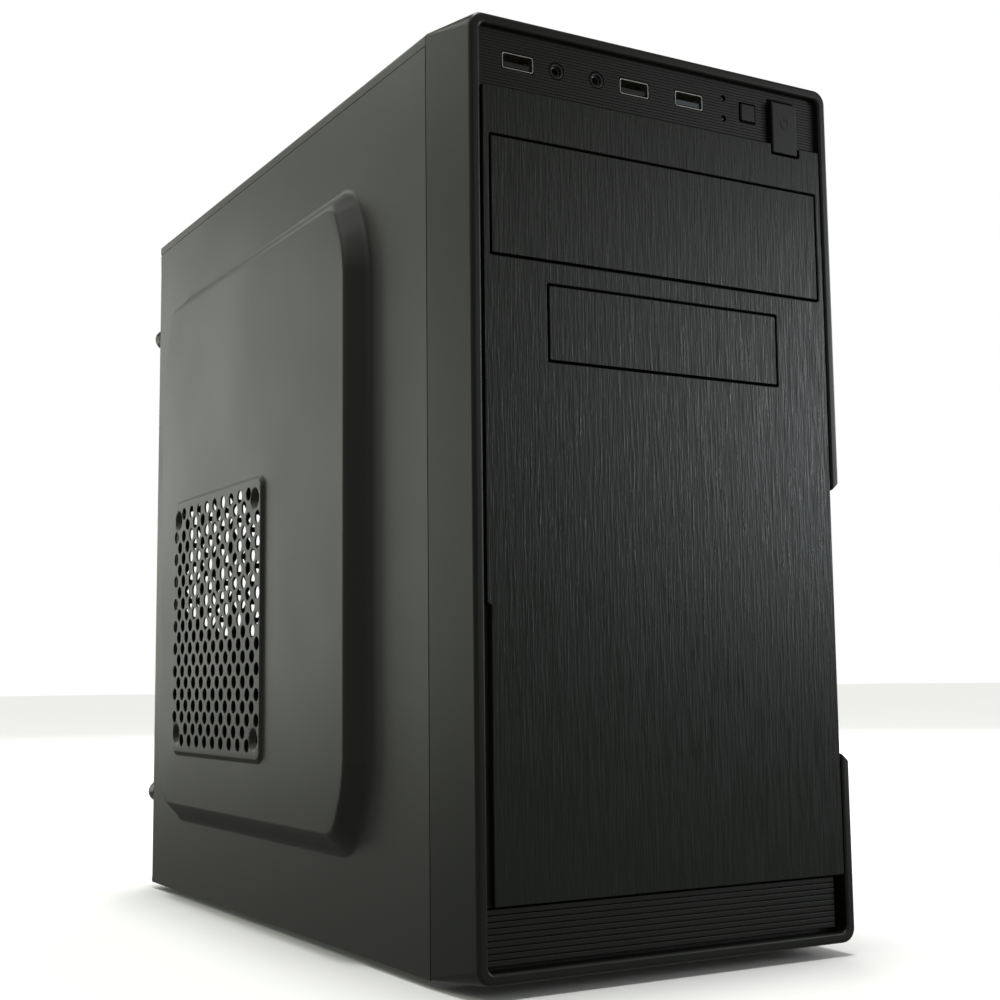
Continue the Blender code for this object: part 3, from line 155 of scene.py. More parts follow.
surround = bpy.data.worlds.new("white_surround")
surround.use_nodes = True
bpy.context.scene.world = surround
backdrop = surround.node_tree.nodes["Background"]
backdrop.inputs["Color"].default_value = linear("FCFFF4")
backdrop.inputs["Strength"].default_value = 0.175
seen = surround.node_tree.nodes.new("ShaderNodeBackground")
seen.inputs["Color"].default_value = linear("FFFFFF")
seen.inputs["Strength"].default_value = 1.0
by_ray = surround.node_tree.nodes.new("ShaderNodeLightPath")
blend_sky = surround.node_tree.nodes.new("ShaderNodeMixShader")
surround_out = surround.node_tree.nodes["World Output"]
surround.node_tree.links.new(by_ray.outputs["Is Camera Ray"], blend_sky.inputs["Fac"])
surround.node_tree.links.new(backdrop.outputs["Background"], blend_sky.inputs[1])
surround.node_tree.links.new(seen.outputs["Background"], blend_sky.inputs[2])
surround.node_tree.links.new(blend_sky.outputs["Shader"], surround_out.inputs["Surface"])

# ---- Left side panel -----------------------------------------------------------------
# Sheet steel with one large soft-shouldered pressing and a raised field of round air
# holes with four dimpled fan-screw places, bent to a flange behind, then powder coated
# in satin black.
SHEET = 0.8 * MM
PRESSING_H = 7.6 * MM
FIELD_H = 1.4 * MM
PRESSING_INSET = {"front": 47.5 * MM, "rear": 23.6 * MM, "low": 34.5 * MM, "high": 33.8 * MM}
CORNER_CUT = (14.0 * MM, 28.0 * MM)
SHOULDER_W = 10.1 * MM
FIELD_SIZE = (122.5 * MM, 126.0 * MM)
FIELD_FROM_REAR = 117.3 * MM
FIELD_Z = 130.7 * MM
HOLE_R = 3.0 * MM
SCREW_HOLE_R = 2.6 * MM
HOLE_COLUMNS = 11
HOLE_PITCH = 11.11 * MM
HOLE_ROWS = 21
ROW_PITCH = 5.52 * MM
SCREW_SPACING = 104.8 * MM
DIMPLE_R = 5.2 * MM
FLANGE_SCREW_R = 2.1 * MM
BEND_R = 1.2 * MM
FLANGE_W = 9.5 * MM
PRESSING_CORNER_R = 11.0 * MM
FIELD_CORNER_R = 6.0 * MM
FIELD_SLOPE_W = 2.4 * MM
DIMPLE_D = 2.4 * MM


def pick(piece):
    """Make one piece the only selected and active object."""
    clear_selection()
    bpy.context.view_layer.objects.active = piece
    piece.select_set(True)


def choose(piece, kind, test):
    """Select the points, edges or faces whose every point passes the test."""
    pick(piece)
    bpy.ops.object.mode_set(mode="EDIT")
    bpy.ops.mesh.select_mode(type=kind)
    bpy.ops.mesh.select_all(action="DESELECT")
    shape = bmesh.from_edit_mesh(piece.data)
    for item in {"VERT": shape.verts, "EDGE": shape.edges, "FACE": shape.faces}[kind]:
        points = [item.co] if kind == "VERT" else [vert.co for vert in item.verts]
        if all(test(point) for point in points):
            item.select_set(True)
    shape.select_flush_mode()
    bmesh.update_edit_mesh(piece.data)


def near(value, target):
    """Whether two lengths agree to a hundredth of a millimetre."""
    return abs(value - target) < 0.01 * MM


def plane_facing(direction, centre):
    """Add a unit plane that faces -X, +X, -Y, +Y or +Z, and say how it was turned."""
    turn = {"-X": (math.pi / 2, 0, -math.pi / 2), "+X": (math.pi / 2, 0, math.pi / 2),
            "-Y": (math.pi / 2, 0, 0), "+Y": (math.pi / 2, 0, math.pi), "+Z": (0, 0, 0)}[direction]
    bpy.ops.mesh.primitive_plane_add(size=1.0, location=centre, rotation=turn)
    return turn


def new_plane(name, direction, centre, width, height):
    """A new piece that starts as one plane, with its place in its mesh."""
    clear_selection()
    plane_facing(direction, centre)
    piece = bpy.context.object
    piece.name = name
    piece.scale = (width, height, 1.0)
    bpy.ops.object.transform_apply(location=True, rotation=True, scale=True)
    return piece


def grow_plane(piece, direction, centre, width, height):
    """Add one more plane to a piece that is in edit mode, and leave only it selected."""
    bpy.ops.mesh.select_mode(type="FACE")
    bpy.ops.mesh.select_all(action="DESELECT")
    turn = plane_facing(direction, centre)
    across = Matrix.Rotation(turn[2], 4, "Z")
    flat = Matrix.Diagonal((width, 1.0, height, 1.0)) if abs(turn[0]) > 0 else (
        Matrix.Diagonal((width, height, 1.0, 1.0)))
    grown = Matrix.Translation(centre) @ across @ flat @ across.inverted()
    grown = grown @ Matrix.Translation(-Vector(centre))
    shape = bmesh.from_edit_mesh(piece.data)
    bmesh.ops.transform(shape, matrix=grown, verts=[vert for vert in shape.verts if vert.select])
    bmesh.update_edit_mesh(piece.data)


def profile_inset(steps):
    """Inset the selected face along a profile of (inward, outward) steps."""
    for inward, outward in steps:
        bpy.ops.mesh.inset(thickness=inward, depth=outward, use_boundary=True, use_even_offset=True)


def soft_step(width, height, count, ease=0.25):
    """The steps of a slope whose foot and shoulder are both eased."""
    def rise(t):
        if t < ease:
            return t * t / (2 * ease * (1 - ease))
        if t > 1 - ease:
            return 1 - (1 - t) ** 2 / (2 * ease * (1 - ease))
        return (t - ease / 2) / (1 - ease)
    return [(width / count, height * (rise((i + 1) / count) - rise(i / count)))
            for i in range(count)]


def drop_face():
    """Delete the selected faces but keep their edges."""
    bpy.ops.mesh.delete(type="ONLY_FACE")


def fill_between(piece, test):
    """Fill flat sheet between all open edges that pass the test, leaving inner loops open."""
    bpy.ops.object.mode_set(mode="EDIT")
    bpy.ops.mesh.select_mode(type="EDGE")
    bpy.ops.mesh.select_all(action="DESELECT")
    shape = bmesh.from_edit_mesh(piece.data)
    for edge in shape.edges:
        if len(edge.link_faces) < 2 and all(test(vert.co) for vert in edge.verts):
            edge.select_set(True)
    bmesh.update_edit_mesh(piece.data)
    bpy.ops.mesh.fill(use_beauty=True)


def apply_all(piece):
    """Apply every modifier of a piece in order."""
    pick(piece)
    for step in list(piece.modifiers):
        bpy.ops.object.modifier_apply(modifier=step.name)


def shade(piece, degrees=35):
    """Smooth the soft bends and keep the sharp edges, with broad faces ruling the shading."""
    pick(piece)
    bpy.ops.object.shade_smooth_by_angle(angle=math.radians(degrees))
    weigh = piece.modifiers.new("weigh", "WEIGHTED_NORMAL")
    weigh.keep_sharp = True
    apply_all(piece)


def outward(piece):
    """Point every face of a piece out."""
    pick(piece)
    bpy.ops.object.mode_set(mode="EDIT")
    bpy.ops.mesh.select_all(action="SELECT")
    bpy.ops.mesh.remove_doubles(threshold=0.005 * MM)
    bpy.ops.mesh.normals_make_consistent(inside=False)
    bpy.ops.object.mode_set(mode="OBJECT")


def sheet_metal(piece, facing, thickness=SHEET):
    """Turn an open sheet's faces to one side and give it its thickness behind them."""
    outward(piece)
    looks = sum(face.area * face.normal.dot(Vector(facing)) for face in piece.data.polygons)
    if looks < 0:
        choose(piece, "FACE", lambda point: True)
        bpy.ops.mesh.flip_normals()
    clear_selection()
    wall = piece.modifiers.new("wall", "SOLIDIFY")
    wall.thickness = thickness
    wall.offset = -1.0
    wall.use_even_offset = True
    apply_all(piece)


def rear_flange(piece, face_x, into, rear):
    """Bend the rear flange inwards, with its two captive screws' holes."""
    choose(piece, "EDGE", lambda p: near(p.y, rear))
    reach = into * FLANGE_W
    bpy.ops.mesh.extrude_region_move(TRANSFORM_OT_translate={"value": (reach, 0, 0)})
    choose(piece, "EDGE", lambda p: near(p.y, rear) and near(p.x, face_x))
    bpy.ops.mesh.bevel(offset=BEND_R, segments=4)
    choose(piece, "FACE", lambda p: near(p.y, rear))
    drop_face()
    for screw in ("lower", "upper"):
        near_end, far_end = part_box(f"thumbscrew_{'left' if into > 0 else 'right'}_{screw}")
        middle = (near_end + far_end) / 2
        bpy.ops.mesh.primitive_circle_add(vertices=20, radius=FLANGE_SCREW_R,
                                          location=(middle.x, rear, middle.z),
                                          rotation=(math.pi / 2, 0, 0))
    fill_between(piece, lambda p: near(p.y, rear))


left_low, left_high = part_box("left_side_panel")
face_x = left_low.x + FIELD_H + PRESSING_H
foot_y = (left_low.y + PRESSING_INSET["front"], left_high.y - PRESSING_INSET["rear"])
foot_z = (left_low.z + PRESSING_INSET["low"], left_high.z - PRESSING_INSET["high"])
left_panel = new_plane("left_panel_sheet", "-X", (face_x, 0, 0), foot_y[1] - foot_y[0],
                       foot_z[1] - foot_z[0])
choose(left_panel, "FACE", lambda p: True)
bpy.ops.transform.translate(value=(0, sum(foot_y) / 2, sum(foot_z) / 2))
for y, out_y in zip(foot_y, (-1, 1)):
    for z, out_z in zip(foot_z, (-1, 1)):
        choose(left_panel, "FACE", lambda p: True)
        bpy.ops.mesh.bisect(plane_co=(face_x, y - out_y * CORNER_CUT[0], z),
                            plane_no=(0, out_y * CORNER_CUT[1], out_z * CORNER_CUT[0]),
                            clear_outer=True)
choose(left_panel, "VERT", lambda p: True)
bpy.ops.mesh.bevel(offset=PRESSING_CORNER_R, segments=6, affect="VERTICES")
choose(left_panel, "FACE", lambda p: True)
profile_inset(soft_step(SHOULDER_W, PRESSING_H, 12))
drop_face()
plateau_x = face_x - PRESSING_H
field_x = plateau_x - FIELD_H
field_y = left_high.y - FIELD_FROM_REAR
field_z = left_low.z + FIELD_Z
field_at = (plateau_x, field_y, field_z)
grow_plane(left_panel, "-X", field_at, *FIELD_SIZE)
bpy.ops.mesh.select_mode(type="VERT")
bpy.ops.mesh.bevel(offset=FIELD_CORNER_R, segments=5, affect="VERTICES")
bpy.ops.mesh.select_mode(type="FACE")
profile_inset(soft_step(FIELD_SLOPE_W, FIELD_H, 6))
drop_face()
for side in (-1, 1):
    for level in (-1, 1):
        bpy.ops.mesh.select_all(action="DESELECT")
        bpy.ops.mesh.primitive_circle_add(
            vertices=32, radius=DIMPLE_R, fill_type="NGON", rotation=(0, -math.pi / 2, 0),
            location=(field_x, field_y + side * SCREW_SPACING / 2,
                      field_z + level * SCREW_SPACING / 2))
        profile_inset(soft_step(DIMPLE_R - SCREW_HOLE_R, -DIMPLE_D, 6))
        drop_face()
for row in range(HOLE_ROWS):
    count = HOLE_COLUMNS - row % 2
    z = field_z + (row - (HOLE_ROWS - 1) / 2) * ROW_PITCH
    for column in range(count):
        y = field_y + (column - (count - 1) / 2) * HOLE_PITCH
        from_screw = math.hypot(abs(y - field_y) - SCREW_SPACING / 2,
                                abs(z - field_z) - SCREW_SPACING / 2)
        if from_screw > DIMPLE_R + SCREW_HOLE_R:
            bpy.ops.mesh.primitive_circle_add(vertices=16, radius=HOLE_R, location=(field_x, y, z),
                                              rotation=(0, -math.pi / 2, 0))
fill_between(left_panel, lambda p: near(p.x, field_x))
fill_between(left_panel, lambda p: near(p.x, plateau_x))
grow_plane(left_panel, "-X", (face_x, (left_low.y + left_high.y) / 2, (left_low.z + left_high.z) / 2),
           left_high.y - left_low.y, left_high.z - left_low.z)
drop_face()
fill_between(left_panel, lambda p: near(p.x, face_x))
rear_flange(left_panel, face_x, 1, left_high.y)
sheet_metal(left_panel, (-1, 0, 0))
shade(left_panel)



def flecked(name, grain, dark, light, gloss, detail=2.0, metallic=0.0):
    """A finish whose tone, and its roughness if given as a range, wander with a soft noise."""
    material, shader = new_material(name)
    here = add_node(material, "ShaderNodeTexCoord").outputs["Object"]
    fleck = add_node(material, "ShaderNodeTexNoise", {"Vector": here, "Scale": 1 / grain,
                     "Detail": detail})
    tone = add_node(material, "ShaderNodeMixRGB", {"Fac": fleck.outputs["Fac"],
                    "Color1": linear(dark), "Color2": linear(light)})
    join(material, tone.outputs["Color"], shader, "Base Color")
    if isinstance(gloss, tuple):
        spread = add_node(material, "ShaderNodeMapRange", {"Value": fleck.outputs["Fac"],
                          "To Min": gloss[0], "To Max": gloss[1]})
        join(material, spread.outputs["Result"], shader, "Roughness")
    else:
        shader.inputs["Roughness"].default_value = gloss
    shader.inputs["Metallic"].default_value = metallic
    return material, shader, here, fleck


# Powder coat on steel: a satin black skin with the fine orange peel of baked powder, a
# little uneven in gloss.
PEEL_W = 0.55 * MM
powder, powder_shader, here, _ = flecked("satin_black_powder_coat", 60 * MM, "272826", "2C2D2B",
                                         (0.40, 0.50), 4.0)
peel = add_node(powder, "ShaderNodeTexNoise", {"Vector": here, "Scale": 1 / PEEL_W, "Detail": 2.0})
powder_bump = add_node(powder, "ShaderNodeBump", {"Height": peel.outputs["Fac"], "Strength": 0.10,
                       "Distance": 0.05 * MM})
join(powder, powder_bump.outputs["Normal"], powder_shader, "Normal")
left_panel.data.materials.append(powder)
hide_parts("left_side_panel")
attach(left_panel, "left_side_panel")

# ---- Right side panel ----------------------------------------------------------------
# The plain panel on the board's side: the same steel sheet and coat, left flat, with the
# same bent flange for its two captive screws.
right_low, right_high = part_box("right_side_panel")
right_panel = new_plane("right_panel_sheet", "+X",
                        (right_high.x, (right_low.y + right_high.y) / 2, (right_low.z + right_high.z) / 2),
                        right_high.y - right_low.y, right_high.z - right_low.z)
rear_flange(right_panel, right_high.x, -1, right_high.y)
sheet_metal(right_panel, (1, 0, 0))
shade(right_panel)
right_panel.data.materials.append(powder)
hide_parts("right_side_panel")
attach(right_panel, "right_side_panel")

# ---- Top cover -----------------------------------------------------------------------
# One bent steel sheet over the frame, whose short lips lie above the side panels.
TOP_BEND_R = 1.4 * MM
top_low, top_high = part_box("top_cover")
top_cover = new_plane("top_cover_sheet", "+Z",
                      ((top_low.x + top_high.x) / 2, (top_low.y + top_high.y) / 2, top_high.z),
                      top_high.x - top_low.x, top_high.y - top_low.y)
for x in (top_low.x, top_high.x):
    choose(top_cover, "EDGE", lambda p: near(p.x, x) and near(p.z, top_high.z))
    bpy.ops.mesh.extrude_region_move(TRANSFORM_OT_translate={"value": (0, 0, top_low.z - top_high.z)})
for x in (top_low.x, top_high.x):
    choose(top_cover, "EDGE", lambda p: near(p.x, x) and near(p.z, top_high.z))
    bpy.ops.mesh.bevel(offset=TOP_BEND_R, segments=4)
sheet_metal(top_cover, (0, 0, 1))
shade(top_cover)
top_cover.data.materials.append(powder)
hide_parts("top_cover")
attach(top_cover, "chassis")

# ---- Thumbscrews ---------------------------------------------------------------------
# Black zinc thumbscrews, turned and knurled with a cross recess; they stay captive in the
# side panels' flanges when undone.
KNURLS = 36
KNURL_DEPTH = 0.35 * MM
NECK_L = 1.5 * MM
NECK_R = 1.7 * MM
CROSS_D = 1.8 * MM
CROSS_ARM = 2.6 * MM
CROSS_HALF_W = 0.6 * MM


def block(name, low, high):
    """A new closed block between two corners, with its place in its mesh."""
    clear_selection()
    low, high = Vector(low), Vector(high)
    bpy.ops.mesh.primitive_cube_add(size=1.0, location=(low + high) / 2)
    piece = bpy.context.object
    piece.name = name
    piece.scale = high - low
    bpy.ops.object.transform_apply(location=True, rotation=True, scale=True)
    return piece


def rod(name, centre, radius, length, sides=32, axis="Y"):
    """A new round bar along one axis, with its place in its mesh."""
    clear_selection()
    turn = {"Y": (math.pi / 2, 0, 0), "X": (0, math.pi / 2, 0), "Z": (0, 0, 0)}[axis]
    bpy.ops.mesh.primitive_cylinder_add(vertices=sides, radius=radius, depth=length,
                                        location=centre, rotation=turn)
    piece = bpy.context.object
    piece.name = name
    bpy.ops.object.transform_apply(location=True, rotation=True, scale=True)
    return piece


def cut(piece, *tools, operation="DIFFERENCE"):
    """Cut solids from a piece, or join them on, and throw the tools away."""
    for tool in tools:
        step = piece.modifiers.new("cut", "BOOLEAN")
        step.operation = operation
        step.solver = "EXACT"
        step.object = tool
        apply_all(piece)
        bpy.data.objects.remove(tool, do_unlink=True)


def merge(pieces, name):
    """Join several pieces into the first, as one object of separate shells."""
    clear_selection()
    for piece in pieces:
        piece.select_set(True)
    bpy.context.view_layer.objects.active = pieces[0]
    bpy.ops.object.join()
    pieces[0].name = name
    return pieces[0]


def soften(piece, width, segments=2, degrees=40):
    """Round every hard edge a little, then set the shading."""
    edge = piece.modifiers.new("edge", "BEVEL")
    edge.width = width
    edge.segments = segments
    edge.limit_method = "ANGLE"
    edge.angle_limit = math.radians(degrees)
    edge.miter_outer = "MITER_ARC"
    apply_all(piece)
    shade(piece)


def dress(piece, material, slot, body, *replaced):
    """Give a finished piece its material and the body it rides on; the slot argument is not used."""
    piece.data.materials.clear()
    piece.data.materials.append(material)
    if replaced:
        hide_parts(*replaced)
    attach(piece, body)


# Black zinc: thin dark plating on turned steel, glossy on the crests and dull in the cuts.
black_zinc = flecked("black_zinc_plate", 1.5 * MM, "1E1E1E", "3A3A3B", (0.28, 0.48), 4.0, 0.8)[0]

for side in ("left", "right"):
    for level in ("lower", "upper"):
        node_name = f"thumbscrew_{side}_{level}"
        low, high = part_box(node_name)
        middle = (low + high) / 2
        radius = (high.x - low.x) / 2
        head_y = left_high.y
        head = rod(f"{node_name}_head", (middle.x, (head_y + NECK_L + high.y) / 2, middle.z),
                   radius - KNURL_DEPTH, high.y - head_y - NECK_L, 2 * KNURLS)
        choose(head, "EDGE", lambda p: near(p.y, high.y))
        bpy.ops.mesh.bevel(offset=0.5 * MM, segments=3)
        choose(head, "FACE", lambda p: p.y < high.y - 0.4 * MM)
        grooves = bmesh.from_edit_mesh(head.data)
        for face in grooves.faces:
            about = math.atan2(face.calc_center_median().z - middle.z,
                               face.calc_center_median().x - middle.x)
            turn = (about / (2 * math.pi) * 2 * KNURLS - 0.5) % 2
            face.select_set(face.select and abs(face.normal.y) < 0.1 and (turn < 0.5 or turn > 1.5))
        bmesh.update_edit_mesh(head.data)
        bpy.ops.mesh.inset(thickness=0.10 * MM, depth=KNURL_DEPTH, use_individual=True)
        cross = block("cross", (middle.x - CROSS_ARM, high.y - CROSS_D, middle.z - CROSS_HALF_W),
                      (middle.x + CROSS_ARM, high.y + MM, middle.z + CROSS_HALF_W))
        other = block("cross", (middle.x - CROSS_HALF_W, high.y - CROSS_D, middle.z - CROSS_ARM),
                      (middle.x + CROSS_HALF_W, high.y + MM, middle.z + CROSS_ARM))
        cut(head, cross, other)
        neck = rod("neck", (middle.x, (head_y + low.y) / 2 + NECK_L, middle.z), NECK_R,
                   head_y - low.y + NECK_L, 20)
        collar = rod("collar", (middle.x, head_y + 0.3 * MM + NECK_L / 2, middle.z),
                     radius - 1.5 * MM, NECK_L, 32)
        screw = merge([head, neck, collar], f"{node_name}_turned")
        shade(screw, 30)
        dress(screw, black_zinc, "screw_steel", node_name, node_name)

# ---- Front bezel ---------------------------------------------------------------------
# One injection moulding in black ABS: tapered shell, raised rim, fine-lined port strip,
# pocket for the brushed plate, finger notch in the right rim, and the low intake recess.
RIM_W = 4.1 * MM
BEZEL_DRAFT = 1.9 * MM
BEZEL_WALL = 2.4 * MM
POCKET_D = 2.5 * MM
FLOOR_T = 2.2 * MM
EDGE_R = 1.5 * MM
RIM_ROLL = 1.0 * MM
POCKET_CORNER_R = 2.4 * MM
BACK_CORNER_R = 1.2 * MM
FRONT_CORNER_R = 5.5 * MM
RECESS_D = 6.8 * MM
NOTCH_LOW = 76.3 * MM
NOTCH_HIGH = 178.2 * MM
NOTCH_FLARE = 9.2 * MM
NOTCH_D = 12.0 * MM
NOTCH_W = 10.4 * MM
STRIP_LINE_PITCH = 1.15 * MM
STRIP_LINE_W = 0.14 * MM
RIB_PITCH = 2.1 * MM
RIB_H = 2.04 * MM
RIB_PROUD = 3.7 * MM
RIB_COUNT = 9
RIB_NOSE_R = 0.34 * MM


def slab(name, low, high, corner=0.0, segments=4):
    """A new block whose corners along Y are rounded."""
    low, high = Vector(low), Vector(high)
    piece = new_plane(name, "-Y", ((low.x + high.x) / 2, low.y, (low.z + high.z) / 2),
                      high.x - low.x, high.z - low.z)
    if corner:
        choose(piece, "VERT", lambda p: True)
        bpy.ops.mesh.bevel(offset=corner, segments=segments, affect="VERTICES")
    choose(piece, "FACE", lambda p: True)
    bpy.ops.mesh.extrude_region_move(TRANSFORM_OT_translate={"value": (0, high.y - low.y, 0)})
    outward(piece)
    return piece


def quarter(radius, count, face_first):
    """The (inward, outward) steps of a quarter round, from the wall or from the face."""
    turns = [math.pi / 2 * i / count for i in range(count + 1)]
    if face_first:
        spots = [(radius * math.sin(t), radius * (1 - math.cos(t))) for t in turns]
    else:
        spots = [(radius * (1 - math.cos(t)), radius * math.sin(t)) for t in turns]
    return [(b[0] - a[0], b[1] - a[1]) for a, b in zip(spots, spots[1:])]


def pocket_tool(low, high, depth, corner, lip):
    """A solid that sinks a round-cornered pocket and rolls the edge of its mouth."""
    y = low[1]
    tool = new_plane("pocket_tool", "+Y", ((low[0] + high[0]) / 2, y, (low[2] + high[2]) / 2),
                     high[0] - low[0] + 2 * lip, high[2] - low[2] + 2 * lip)
    choose(tool, "VERT", lambda p: True)
    bpy.ops.mesh.bevel(offset=corner + lip, segments=6, affect="VERTICES")
    choose(tool, "FACE", lambda p: True)
    profile_inset(quarter(lip, 4, True))
    bpy.ops.mesh.extrude_region_move(TRANSFORM_OT_translate={"value": (0, depth - lip, 0)})
    choose(tool, "EDGE", lambda p: near(p.y, y))
    bpy.ops.mesh.extrude_region_move(TRANSFORM_OT_translate={"value": (0, -2 * MM, 0)})
    bpy.ops.mesh.edge_face_add()
    outward(tool)
    return tool


bezel_low, bezel_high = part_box("front_bezel")
plate_low, plate_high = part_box("face_plate")
mid_x = (bezel_low.x + bezel_high.x) / 2
mid_z = (bezel_low.z + bezel_high.z) / 2
front_y = bezel_low.y
half_w = (bezel_high.x - bezel_low.x) / 2
half_h = (bezel_high.z - bezel_low.z) / 2
open_half = half_w - BEZEL_DRAFT - RIM_W
open_low = bezel_low.z + BEZEL_DRAFT + RIM_W
open_high = bezel_high.z - BEZEL_DRAFT - RIM_W
strip_low = plate_high.z
pocket_y = front_y + POCKET_D

bezel = new_plane("bezel_shell", "-Y", (mid_x, bezel_high.y, mid_z), 2 * half_w, 2 * half_h)
choose(bezel, "VERT", lambda p: True)
bpy.ops.mesh.bevel(offset=BACK_CORNER_R, segments=7, affect="VERTICES")
grow_plane(bezel, "-Y", (mid_x, front_y + EDGE_R, mid_z), 2 * (half_w - BEZEL_DRAFT),
           2 * (half_h - BEZEL_DRAFT))
bpy.ops.mesh.select_mode(type="VERT")
bpy.ops.mesh.bevel(offset=FRONT_CORNER_R, segments=7, affect="VERTICES")
bpy.ops.mesh.select_mode(type="EDGE")
bpy.ops.mesh.select_all(action="SELECT")
bpy.ops.mesh.bridge_edge_loops()
for y in (bezel_high.y, front_y + EDGE_R):
    choose(bezel, "EDGE", lambda p: near(p.y, y))
    bpy.ops.mesh.edge_face_add()
outward(bezel)
choose(bezel, "FACE", lambda p: near(p.y, front_y + EDGE_R))
profile_inset(quarter(EDGE_R, 5, False))
clear_selection()

floor_back = pocket_y + FLOOR_T
recess_back = front_y + RECESS_D + FLOOR_T
wall_half = half_w - BEZEL_DRAFT - BEZEL_WALL
behind = bezel_high.y + 5 * MM
notch_x = mid_x + open_half - BEZEL_WALL
cut(bezel,
    block("cavity", (mid_x - wall_half, floor_back, plate_low.z + BEZEL_WALL),
          (notch_x, behind, bezel_high.z - BEZEL_DRAFT - BEZEL_WALL)),
    block("cavity", (mid_x - wall_half, recess_back, bezel_low.z + BEZEL_DRAFT + BEZEL_WALL),
          (notch_x, behind, plate_low.z + BEZEL_WALL + MM)),
    block("cavity", (notch_x - MM, recess_back, bezel_low.z + BEZEL_DRAFT + BEZEL_WALL),
          (mid_x + wall_half, behind, NOTCH_LOW - NOTCH_FLARE)),
    block("cavity", (notch_x - MM, floor_back, NOTCH_HIGH + NOTCH_FLARE),
          (mid_x + wall_half, behind, bezel_high.z - BEZEL_DRAFT - BEZEL_WALL)),
    pocket_tool((mid_x - open_half, front_y, open_low), (mid_x + open_half, front_y, open_high),
                POCKET_D, POCKET_CORNER_R, RIM_ROLL),
    slab("recess", (mid_x - open_half, pocket_y - MM, open_low),
         (mid_x + open_half, front_y + RECESS_D, plate_low.z), POCKET_CORNER_R))
notch = new_plane("notch", "-Y", (mid_x + open_half + 5 * MM, front_y - MM, (NOTCH_LOW + NOTCH_HIGH) / 2),
                  NOTCH_W, NOTCH_HIGH - NOTCH_LOW)
choose(notch, "EDGE", lambda p: p.x > mid_x + open_half + 5 * MM)
bpy.ops.transform.resize(value=(1, 1, 1 + 2 * NOTCH_FLARE / (NOTCH_HIGH - NOTCH_LOW)))
choose(notch, "FACE", lambda p: True)
bpy.ops.mesh.extrude_region_move(TRANSFORM_OT_translate={"value": (0, NOTCH_D + MM, 0)})
outward(notch)
cut(bezel, notch)

lines = []
line_z = strip_low + STRIP_LINE_PITCH
while line_z < open_high - STRIP_LINE_PITCH / 2:
    line = rod("line", (mid_x, pocket_y, line_z), STRIP_LINE_W, 2 * open_half - 3 * MM, 4, "X")
    lines.append(line)
    line_z += STRIP_LINE_PITCH
cut(bezel, merge(lines, "lines"))


def opening(node_name, grow, corner):
    """A tool that opens the bezel's front wall around a node's box."""
    low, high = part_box(node_name)
    return slab("opening", (low.x - grow, front_y - MM, low.z - grow),
                (high.x + grow, floor_back + MM, high.z + grow), corner)


cut(bezel, *[opening(name, 0.55 * MM, 0.8 * MM) for name in ("large_bay_cover", "small_bay_cover")],
    *[opening(f"front_usb_port_{i}", 0.30 * MM, 0.7 * MM) for i in (1, 2, 3)],
    *[opening(name, -0.50 * MM, 0.8 * MM) for name in ("power_button", "reset_button")])
for name in ("front_headphone_jack", "front_microphone_jack", "power_light_pipe", "drive_light_pipe"):
    low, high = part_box(name)
    cut(bezel, rod("hole", ((low.x + high.x) / 2, pocket_y, (low.z + high.z) / 2),
                   (high.x - low.x) / 2 + 0.25 * MM, 3 * FLOOR_T, 32))
ribs_low = open_low + 1.7 * MM
rib_left = mid_x - open_half + MM
rib_right = notch_x - MM
shade(bezel, 30)

# Moulded ABS: near-black with a fine spark-eroded texture that breaks up the gloss.
SPARK_W = 0.35 * MM
abs_plastic, abs_shader, here, _ = flecked("black_textured_abs", 45 * MM, "161914", "1B1E19",
                                           (0.34, 0.44), 5.0)
spark = add_node(abs_plastic, "ShaderNodeTexVoronoi", {"Vector": here, "Scale": 1 / SPARK_W})
abs_bump = add_node(abs_plastic, "ShaderNodeBump", {"Height": spark.outputs["Distance"],
                    "Strength": 0.12, "Distance": 0.04 * MM})
join(abs_plastic, abs_bump.outputs["Normal"], abs_shader, "Normal")
dress(bezel, abs_plastic, "bezel_plastic", "chassis", "front_bezel")

# The intake's ribs are part of the same moulding: round-nosed bars across the recess.
ribs = []
for i in range(RIB_COUNT):
    z = ribs_low + i * RIB_PITCH
    rib = block("rib", (rib_left, front_y + RECESS_D - RIB_PROUD, z),
                (rib_right, front_y + RECESS_D + 0.3 * MM, z + RIB_H))
    choose(rib, "EDGE", lambda p: near(p.y, front_y + RECESS_D - RIB_PROUD))
    bpy.ops.mesh.bevel(offset=RIB_NOSE_R, segments=4)
    ribs.append(rib)
intake_ribs = merge(ribs, "intake_ribs")
shade(intake_ribs)
dress(intake_ribs, abs_plastic, "bezel_plastic", "chassis")

# ---- Brushed face plate --------------------------------------------------------------
# A thin plate with vertical hairline brushing, let into the bezel round both bays. Its
# left edge steps in low down, where the dark air slot runs beside it.
SLOT_STEP = 1.6 * MM
SLOT_TOP = 132.5 * MM
face_plate = slab("brushed_plate", plate_low, plate_high)
step_tool = block("step", (plate_low.x - MM, plate_low.y - MM, plate_low.z - MM),
                  (plate_low.x + SLOT_STEP, plate_high.y + MM, SLOT_TOP))
choose(step_tool, "EDGE", lambda p: p.z > SLOT_TOP - MM and p.x > plate_low.x)
bpy.ops.transform.translate(value=(0, 0, -SLOT_STEP))
cut(face_plate, step_tool)
for name, grow in (("large_bay_cover", 0.95), ("small_bay_cover", 0.95), ("power_button", -0.25)):
    low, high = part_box(name)
    grow *= MM
    cut(face_plate, slab("bay", (low.x - grow, front_y - MM, low.z - grow),
                         (high.x + grow, plate_high.y + MM, high.z + grow), 0.6 * MM))
soften(face_plate, 0.40 * MM, 3)

